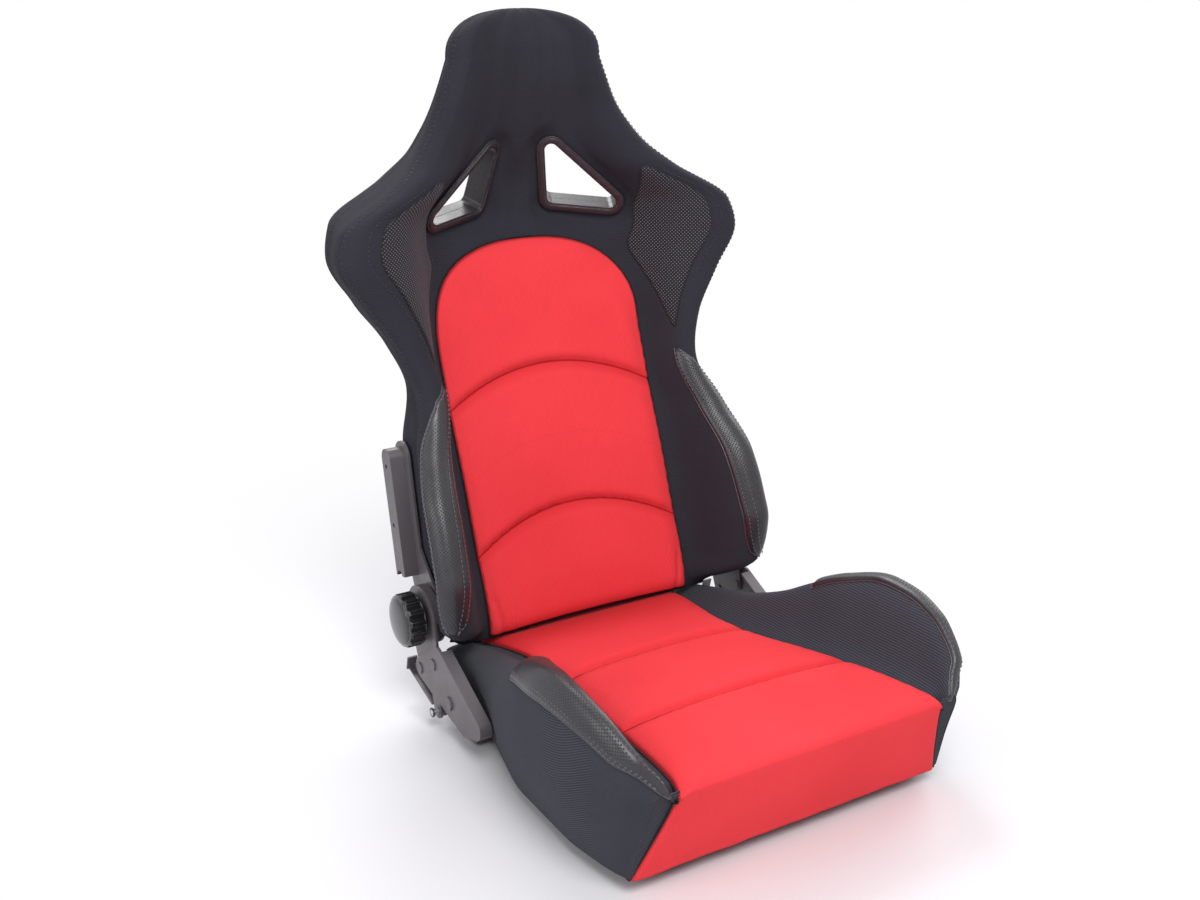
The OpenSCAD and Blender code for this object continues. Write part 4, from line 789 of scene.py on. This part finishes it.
def panel(node, place, rows, s_in, s_out, cols, height, body, slot, mat, side, lift=0.0,
          ramp=PANEL_EDGE, flat=False):
    """A sewn panel on a surface: its edges dip to the cover, its field stands off it."""
    c = soft(np.linspace(0, 1, cols)) * 0.35 + np.linspace(0, 1, cols) * 0.65
    s = s_in(rows)[:, None] + (s_out(rows) - s_in(rows))[:, None] * c[None]
    p, n = place(rows[:, None] + 0 * s, side * s)
    e = border(p)
    rise = round_up(e / PANEL_EDGE) * round_up((rows - rows[0]) / ramp)[:, None]
    p = p + n * (-0.8 + lift + (height + 0.8) * rise + 0.3 * ripple(p, 24, 5) * rise)[..., None]
    uv = np.stack([lengths(p, 1), lengths(p, 0)], -1)
    if flat:
        uv = np.stack([0.8 * np.abs(p[..., 0]) - 0.62 * p[..., 1], 1.05 * p[..., 2]], -1)
    ridge = soft(1 - np.abs(c - 0.5) * 2)[None] + 0 * e
    o = object_of(node, p, quads(*p.shape[:2])[0], uv, body, slot, mat,
                  data={"rim": e * MM, "ridge": ridge}, flip=side < 0)
    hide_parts(node)


def both_sides(make):
    """Makes the mirrored pieces; side is -1 on the left."""
    for side, word in ((-1, "left"), (1, "right")):
        make(side, word)


def dress_back(side, word):
    """Leather, mesh, stitches and piping of one side of the back."""
    rows = steps(LEATHER_LOW, (LEATHER_TOP, 76))
    panel("back_leather_" + word, back_at, rows, leather_in, leather_out, 34, 3.4, "backrest",
          "black_leather", vinyl, side, ramp=34)
    rows = steps(MESH_LOW, (MESH_TOP, 58))
    panel("wing_mesh_" + word, back_at, rows, mesh_in, mesh_out, 36, 2.6, "backrest",
          "mesh_cloth", spacer, side, flat=True)
    sew, cord, dark = [], [], []

    def line(lo, hi, s, lift):
        return seam_line(back_at, side, lo, hi, s, lift)

    def inward(r, share):
        return leather_in(r) + share * (leather_out(r) - leather_in(r)) + 0.01

    def outward(r, share):
        return leather_out(r) - share * (leather_out(r) - leather_in(r)) - 0.02

    lo, hi = LEATHER_LOW + 4, LEATHER_TOP - 5
    for near, far in ((0.045, 0.045), (0.1155, 0.105)):
        stitches(sew, *line(lo, hi, lambda r: inward(r, near), 3.3))
        stitches(sew, *line(lo, hi, lambda r: outward(r, far), 3.3))
    tube(cord, *line(lo - 3, hi + 4, leather_in, 0.3), 1.3)
    tube(cord, *line(lo - 3, hi + 4, leather_out, 0.3), 1.5)
    for at, shift in ((mesh_in, -0.035), (mesh_out, 0.05)):
        stitches(dark, *line(MESH_LOW + 6, MESH_TOP - 6, lambda r: at(r) + shift, 0.0),
                 long=3.6, r=0.4)
    for shift in (-0.045, 0.045):
        stitches(dark, *line(205, 868, lambda r: side_seam(r) + shift, -0.3),
                 long=4.0, gap=2.6, r=0.36)
    for name, parts, slot, mat in (("back_stitches_", sew, "black_leather", grey_thread),
                                   ("back_piping_", cord, "black_leather", plain_vinyl),
                                   ("side_stitches_", dark, "black_cloth", dark_thread)):
        gather(name + word, parts, body="backrest", slot=slot, mat=mat)


both_sides(dress_back)

PAD_T, PAD_EDGE, PAD_HALF, PAD_TOP, SPRING = 11.0, 4.0, 157.0, 592.0, 470.0
PAD_LOW, ARCH_POWER = 98, 2.5


def pad_w(z):
    """Half width of the back's pad, arched above SPRING."""
    t = np.clip((z - SPRING) / (PAD_TOP - SPRING), 0, 1)
    return PAD_HALF * (1 - t ** ARCH_POWER) ** (1 / ARCH_POWER)


def foam_front(z, x):
    """Front of the cover at x, by halving."""
    a, b = np.zeros(x.shape), np.full(x.shape, 2.0)
    for _ in range(18):
        m = (a + b) / 2
        less = section(z, m)[0] < x
        a, b = np.where(less, m, a), np.where(less, b, m)
    return section(z, (a + b) / 2)[1]


def puff(e, groove):
    """Height of a sewn pad from the distance to its edge and to its sewn lines."""
    edge = PAD_EDGE * round_up(e / 5)
    swell = 1 - (1 - np.clip(e / 26, 0, 1)) ** 2.2
    line = 1 - (1 - np.clip(np.abs(groove) / 19, 0, 1)) ** 2.4
    return edge + (PAD_T - PAD_EDGE) * swell * line - 1.6 * np.exp(-np.abs(groove) / 1.6)


def make_back_pad():
    """The red pad of the back, with two arched sewn lines, and the cord round it."""
    z = np.concatenate([steps(PAD_LOW, (SPRING + 10, 118)),
                        SPRING + 10 + (PAD_TOP - SPRING - 10.6) * np.sin(
                            np.radians(np.linspace(3, 90, 44)))])
    u = gathered(np.linspace(-1, 1, 97))
    x = u[None] * pad_w(z)[:, None]
    zz = z[:, None] + 0 * x
    t = np.linspace(0, 1, 500)
    rim_z = np.concatenate([PAD_LOW + (SPRING - PAD_LOW) * t,
                            SPRING + (PAD_TOP - SPRING) * np.sin(t * np.pi / 2)])
    rim = np.stack([pad_w(rim_z), rim_z], 1)
    flat = np.stack([np.abs(x), zz], -1).reshape(-1, 2)
    e = np.min([np.hypot(flat[:, 0] - a, flat[:, 1] - b) for a, b in rim[::2]], 0)
    e = np.minimum(e.reshape(x.shape), zz - PAD_LOW + 1)
    arch = 1 - (x / PAD_HALF) ** 2
    g = nearer([zz - (201 + 44 * arch), zz - (386 + 42 * arch)])
    flow = np.stack([x, zz, x], -1)
    h = puff(e, g)
    # puckers along the sewn lines and the edge, then a crease beside each lower corner
    h = h + 0.45 * np.sin((x + 0.6 * zz) / 3.1 + 2 * ripple(flow, 30)) * np.exp(-np.abs(g) / 7)
    h = h + 0.35 * np.sin(zz / 3.4 + 2 * ripple(flow, 40, 2)) * np.exp(-e / 8) * soft(e / 3)
    crease = np.exp(-((np.abs(x) - 139 - 0.16 * (zz - PAD_LOW)) / 3.0) ** 2)
    h = h - 4.2 * crease * np.exp(-((zz - 124) / 26) ** 2)
    h = h + 1.6 * np.exp(-(np.hypot(np.abs(x) - 140, zz - 118) / 22) ** 2)
    p = np.stack([x, foam_front(zz, np.abs(x)) - 1.2 - h, zz], -1)
    p[..., 1] += 0.5 * ripple(p, 55, 7)
    p[0, :, 1] += 6
    # the last value below is painted shade, darker towards the pad's foot where it meets the seat
    o = object_of("back_red_pad", p, quads(*p.shape[:2])[0], np.stack([x, lengths(p, 0)], -1),
                  "backrest", "red_cloth", red,
                  data={"rim": np.maximum(e, 0) * MM, "fold": g * MM,
                        "soil_and_painted_shade": 0.3 * soft((118 - zz) / 20)})
    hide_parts("back_pad")
    cord = []
    right = np.stack([pad_w(rim_z) + 0.8, 0 * rim_z, rim_z], -1)
    loop = np.concatenate([right, (right * [-1, 1, 1])[::-1]])
    loop[:, 1] = foam_front(loop[:, 2], np.abs(loop[:, 0])) - 0.6
    tube(cord, loop[::2], np.tile([0.0, -1.0, 0.0], (len(loop[::2]), 1)), 1.3)
    gather("back_pad_seam", cord, body="backrest", slot="black_cloth", mat=black_seam)


make_back_pad()


# ---- Cushion ---------------------------------------------

# the hollow under the foam, for the springs
CAVITY_FRONT, CAVITY_REAR, CAVITY_HALF, CAVITY_TOP = -206.0, 130.0, 166.0, 44.0


def make_cushion():
    """The black cover of the cushion, its hollow, and the flat faces that close both ends."""
    s = steps(0, (1, 14), (2, 30), (3, 16), (4, 16), (5, 5))
    y = np.sort(np.concatenate([steps(CREASE_Y + LIP, (-200, 20), (100, 70), (REAR_END, 40)),
                                [CAVITY_FRONT - 0.02, CAVITY_FRONT, CAVITY_REAR,
                                 CAVITY_REAR + 0.02]]))
    p, n = seat_at(y[:, None], s[None])
    calm = soft((s - 0.9) / 0.2) * soft((4.1 - s) / 0.3)
    p = p + n * (0.6 * ripple(p, 50, 2) * calm[None])[..., None]
    front = []
    for a in np.radians((90, 66, 44, 22)):
        q, m = seat_at(np.full((1, 1), CREASE_Y + LIP), s[None])
        q = q - m * 4 * (1 - math.cos(a))
        q[..., 1] -= 5.5 * math.sin(a)
        front.append(q)
    p = np.concatenate(front + [p])
    y = np.concatenate([[CREASE_Y + LIP] * 4, y])
    inside = (y >= CAVITY_FRONT) & (y <= CAVITY_REAR)
    zf = under_z(y)
    under = []
    for x, raised in ((CAVITY_HALF, False), (CAVITY_HALF, True), (90, True), (0, True)):
        up = inside & raised
        under.append(np.stack([np.full(len(y), float(x)), np.where(up, y, lean(y, zf)),
                               np.where(up, CAVITY_TOP, zf)], -1))
    under[0][:, 0] = np.minimum(under[0][:, 0], p[:, -1, 0] - 1)
    half = np.concatenate([p, np.stack(under, 1)], 1)
    whole = np.concatenate([half, (half * [-1, 1, 1])[:, -2:0:-1]], 1)
    last = whole[-1:].copy()
    mid = last[..., 2].mean()
    last[..., 1] += 2
    last[..., 2] = mid + (last[..., 2] - mid) * 0.4
    whole = np.concatenate([whole, last])
    rows, cols = whole.shape[:2]
    faces, corner = quads(rows, cols, True)
    wide = np.concatenate([whole, whole[:, :1]], 1)
    uv = np.stack([lengths(wide, 0), lengths(wide, 1)], -1)
    o = object_of("cushion_body", whole, faces, uv, "seat_base", "black_cloth", ribbed, corner,
                  {"rim": np.ones(rows * cols)})
    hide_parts("seat_cushion", "seat_bolster_left", "seat_bolster_right")
    ends = []
    a = np.arange(cols)
    fan = np.stack([a, (a + 1) % cols, np.full(cols, cols)], 1)
    for ring in (whole[0], whole[-1]):
        points = np.concatenate([ring, ring.mean(0)[None]])
        ends.append((points, fan, points[:, [0, 2]]))
    gather("cushion_ends", ends, body="seat_base", slot="black_cloth", mat=ribbed,
           data={"rim": np.ones(2 * (cols + 1))})


make_cushion()

LEATHER_FRONT, LEATHER_REAR = -273.0, -10.0
seat_in = curve([[-273, 2.0], [-263, 1.94], [-225, 1.89], [-100, 1.87], [-40, 1.84], [-10, 1.8]])
seat_out = curve([[-273, 2.03], [-263, 2.25], [-225, 2.5], [-100, 2.52], [-10, 2.44]])


def dress_seat(side, word):
    """Leather, stitches and piping of one bolster."""
    rows = steps(LEATHER_FRONT, (LEATHER_REAR, 84))
    panel("seat_leather_" + word, seat_at, rows, seat_in, seat_out, 30, 3.6, "seat_base",
          "black_leather", vinyl, side, lift=0.8)
    sew, cord = [], []

    def line(lo, hi, s, lift):
        return seam_line(seat_at, side, lo, hi, s, lift)

    for share in (0.07, 0.15):
        stitches(sew, *line(-264, -14, lambda r: seat_out(r) - share * (seat_out(r) - seat_in(r)),
                            3.5))
    for share in (0.07, 0.15):
        stitches(sew, *line(-264, -205, lambda r: seat_in(r) + share * (seat_out(r) - seat_in(r)),
                            3.5))
    lo, hi = LEATHER_FRONT + 1, LEATHER_REAR - 1
    tube(cord, *line(lo, hi, seat_in, 0.4), 1.3)
    tube(cord, *line(lo, hi, seat_out, 0.5), 1.9)
    s = np.linspace(seat_in(LEATHER_REAR), seat_out(LEATHER_REAR), 60)
    p, n = seat_at(np.full(60, LEATHER_REAR), side * s)
    tube(cord, p + 0.6 * n, n, 1.6)
    for name, parts, mat in (("seat_stitches_", sew, grey_thread),
                             ("seat_piping_", cord, plain_vinyl)):
        gather(name + word, parts, body="seat_base", slot="black_leather", mat=mat)


both_sides(dress_seat)


PAD_REAR, PAD_BEND = 257, -252


def make_seat_pad():
    """The red pad of the cushion, which runs down over the front, and the cords at its sides."""
    u = gathered(np.linspace(-1, 1, 105))
    to_edge, dome = 1 - np.abs(u), (1 - u * u)[None]
    y = steps(PAD_REAR, (249, 10), (PAD_BEND, 150))
    half = pad_half(y)[:, None]
    x = u[None] * half
    yy = y[:, None] + 0 * x
    e = np.minimum(to_edge[None] * half, 285 - yy)
    g = nearer([yy - 46 - 3 * dome, yy + 128 - 3 * dome])
    flow = np.stack([x, yy, x], -1)
    h = puff(e, g)
    # puckers, then a fuller middle and a rounded end at the rear
    h = h + 0.4 * np.sin(x / 3.3 + 2 * ripple(flow, 30)) * np.exp(-np.abs(g) / 7)
    h = h + 0.3 * np.sin(yy / 3.4 + 2 * ripple(flow, 40, 2)) * np.exp(-e / 8) * soft(e / 3)
    h = h + 4.9 * dome * soft((yy - 195) / 60)
    h *= np.sqrt(1 - np.clip((yy - 249) / 8, 0, 1) ** 2)
    zs = seat_section(yy, np.abs(u)[None] + 0 * x)[1]
    top = np.stack([x, yy, zs + 1.1 + h], -1)
    top[..., 2] += 0.5 * ripple(top, 60, 4)
    # kept clear of the round end of the back, which swings over it
    swing = HINGE_Z - np.sqrt(np.maximum(END_R ** 2 - (yy - HINGE_Y) ** 2, 0)) - 2.2
    top[..., 2] = np.where(yy > HINGE_Y - END_R, np.minimum(top[..., 2], swing), top[..., 2])
    rows = []
    z0 = top[-1, :, 2]
    for a in np.radians(np.linspace(8, 86, 12)):
        rows.append(np.stack([u * pad_half(PAD_BEND - 23 * np.sin(a)),
                              np.full(len(u), PAD_BEND - 25 * np.sin(a)),
                              z0 - 11 * (1 - np.cos(a))], -1))
    zt = rows[-1][:, 2]
    low = UNDER + 0.7 + 0.9 * (1 + ripple(np.stack([u * 221, 0 * u, 0 * u], -1), 17, 8))
    for t in np.linspace(0, 1, 40)[1:]:
        z = zt + (low - zt) * t
        bulge = 3 * (1 - u * u) * np.sin(np.pi * t) + 1.2 * soft(to_edge * CREASE_HALF / 8)
        rows.append(np.stack([u * lip_half(z), lean(np.full(len(u), CREASE_Y), z) - bulge, z], -1))
    for back in (3.0, 8.0):
        q = rows[-1].copy()
        q[:, 1] += back
        q[:, 2] = UNDER + 0.4 - 0.1 * back
        rows.append(q)
    front = np.stack(rows)
    near = 1 - soft(to_edge * CREASE_HALF / 5)
    front[..., 1] += 3.0 * near[None] * soft(np.linspace(0, 1, len(front)) * 6)[:, None]
    front[..., 1] += 0.5 * ripple(front, 40, 6)
    p = np.concatenate([top, front])
    rim = np.concatenate([e, np.broadcast_to(to_edge * 190, front.shape[:2])])
    fold = np.concatenate([g, np.full(front.shape[:2], g[-1:].min())])
    # painted shade: darker towards the rear, where the back shades the seat
    soil_and_painted_shade = np.concatenate([0.62 * soft((yy - 110) / 125), 0 * front[..., 0]])
    across, middle = lengths(p, 1), len(u) // 2
    o = object_of("seat_red_pad", p, quads(*p.shape[:2])[0],
                  np.stack([across - across[:, middle:middle + 1], lengths(p, 0)], -1),
                  "seat_base", "red_cloth", red,
                  data={"rim": np.maximum(rim, 0) * MM, "fold": fold * MM, "soil_and_painted_shade": soil_and_painted_shade}, flip=True)
    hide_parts("seat_pad")
    cord = []
    for column, out in ((0, -1.0), (-1, 1.0)):
        path = p[10:-2, column] + [0.5 * out, 0, 0]
        tube(cord, path, np.tile([out, 0.0, 0.0], (len(path), 1)), 1.0)
    gather("seat_pad_seam", cord, body="seat_base", slot="black_cloth", mat=black_seam)


make_seat_pad()


# ---- Studio ----------------------------------------------

FLOOR_R, FLOOR_SIDES = 6, 96
# the fitted camera: place in metres, and direction
EYE, AHEAD = (-0.899, -1.308, 0.958), (0.484, 0.810, -0.331)


def make_floor():
    """A pale floor that turns white away from the object."""
    turn = np.linspace(0, 2 * math.pi, FLOOR_SIDES, endpoint=False)
    me = bpy.data.meshes.new("floor")
    me.from_pydata([(FLOOR_R * math.cos(a), FLOOR_R * math.sin(a), 0) for a in turn], [],
                   [list(range(FLOOR_SIDES))])
    floor = linked("floor", me)
    k = Look("white_floor")
    tone = k.mix(k.noise(k.place(), 2.0, 2), rgb(226, 224, 226), rgb(221, 220, 223))
    k.set(Base_Color=tone, Roughness=0.55, Specular_IOR_Level=0.25)
    far = k.node("ShaderNodeVectorMath", {0: k.place()}, out=1, operation="LENGTH")
    glow = k.node("ShaderNodeEmission", {"Color": (1, 1, 1, 1), "Strength": 1.0})
    seen = k.math("MULTIPLY", k.span(far, 0.55, 1.5), k.node("ShaderNodeLightPath"))
    mixed = k.node("ShaderNodeMixShader", {0: seen, 1: k.b.outputs[0], 2: glow})
    k.t.links.new(mixed, k.t.nodes["Material Output"].inputs[0])
    me.materials.append(k.m)


def make_world():
    """Soft light all round, which the camera and glossy surfaces see as white."""
    world = bpy.data.worlds.new("studio")
    bpy.context.scene.world = world
    world.use_nodes = True
    t = world.node_tree
    t.nodes.clear()
    out = t.nodes.new("ShaderNodeOutputWorld")
    mix = t.nodes.new("ShaderNodeMixShader")
    path = t.nodes.new("ShaderNodeLightPath")
    either = t.nodes.new("ShaderNodeMath")
    either.operation = "MAXIMUM"
    t.links.new(path.outputs["Is Camera Ray"], either.inputs[0])
    t.links.new(path.outputs["Is Glossy Ray"], either.inputs[1])
    t.links.new(either.outputs[0], mix.inputs[0])
    for i, (colour, strength) in enumerate((((0.95, 0.96, 1.0, 1), 0.42), ((1, 1, 1, 1), 1.0))):
        ground = t.nodes.new("ShaderNodeBackground")
        ground.inputs[0].default_value = colour
        ground.inputs[1].default_value = strength
        t.links.new(ground.outputs[0], mix.inputs[i + 1])
    t.links.new(mix.outputs[0], out.inputs[0])


def lamp(name, at, aim, size, power):
    """A round soft lamp."""
    data = bpy.data.lights.new(name, "AREA")
    data.shape, data.size, data.energy = "DISK", size, power
    o = linked(name, data)
    o.location = at
    o.rotation_euler = (Vector(aim) - Vector(at)).to_track_quat("-Z", "Y").to_euler()


def make_camera():
    """The photograph's camera."""
    cam = linked("camera", bpy.data.cameras.new("camera"))
    cam.data.sensor_width, cam.data.lens = 36, 42.0
    cam.data.clip_start, cam.data.clip_end = 0.05, 60
    ahead = Vector(AHEAD).normalized()
    right = ahead.cross(Vector((0, 0, 1))).normalized()
    up = right.cross(ahead)
    cam.matrix_world = Matrix([(right[i], up[i], -ahead[i], EYE[i]) for i in range(3)]
                              + [(0, 0, 0, 1)])
    bpy.context.scene.camera = cam


make_floor()
make_world()
lamp("key", (-0.5, -1.7, 2.6), (0, 0.1, 0.35), 1.8, 66)
lamp("side", (-2.8, -0.2, 1.5), (0, 0.1, 0.4), 1.8, 26)
lamp("far_side", (2.4, 0.9, 1.7), (0, 0.0, 0.4), 1.8, 26)
lamp("rear", (0.4, 1.9, 2.5), (0, -0.1, 0.2), 1.6, 44)
make_camera()
bpy.context.scene.view_settings.view_transform = "Standard"

for closed_grid in ("back_body", "cushion_body", "cushion_ends"):
    drop_flat_faces(closed_grid)
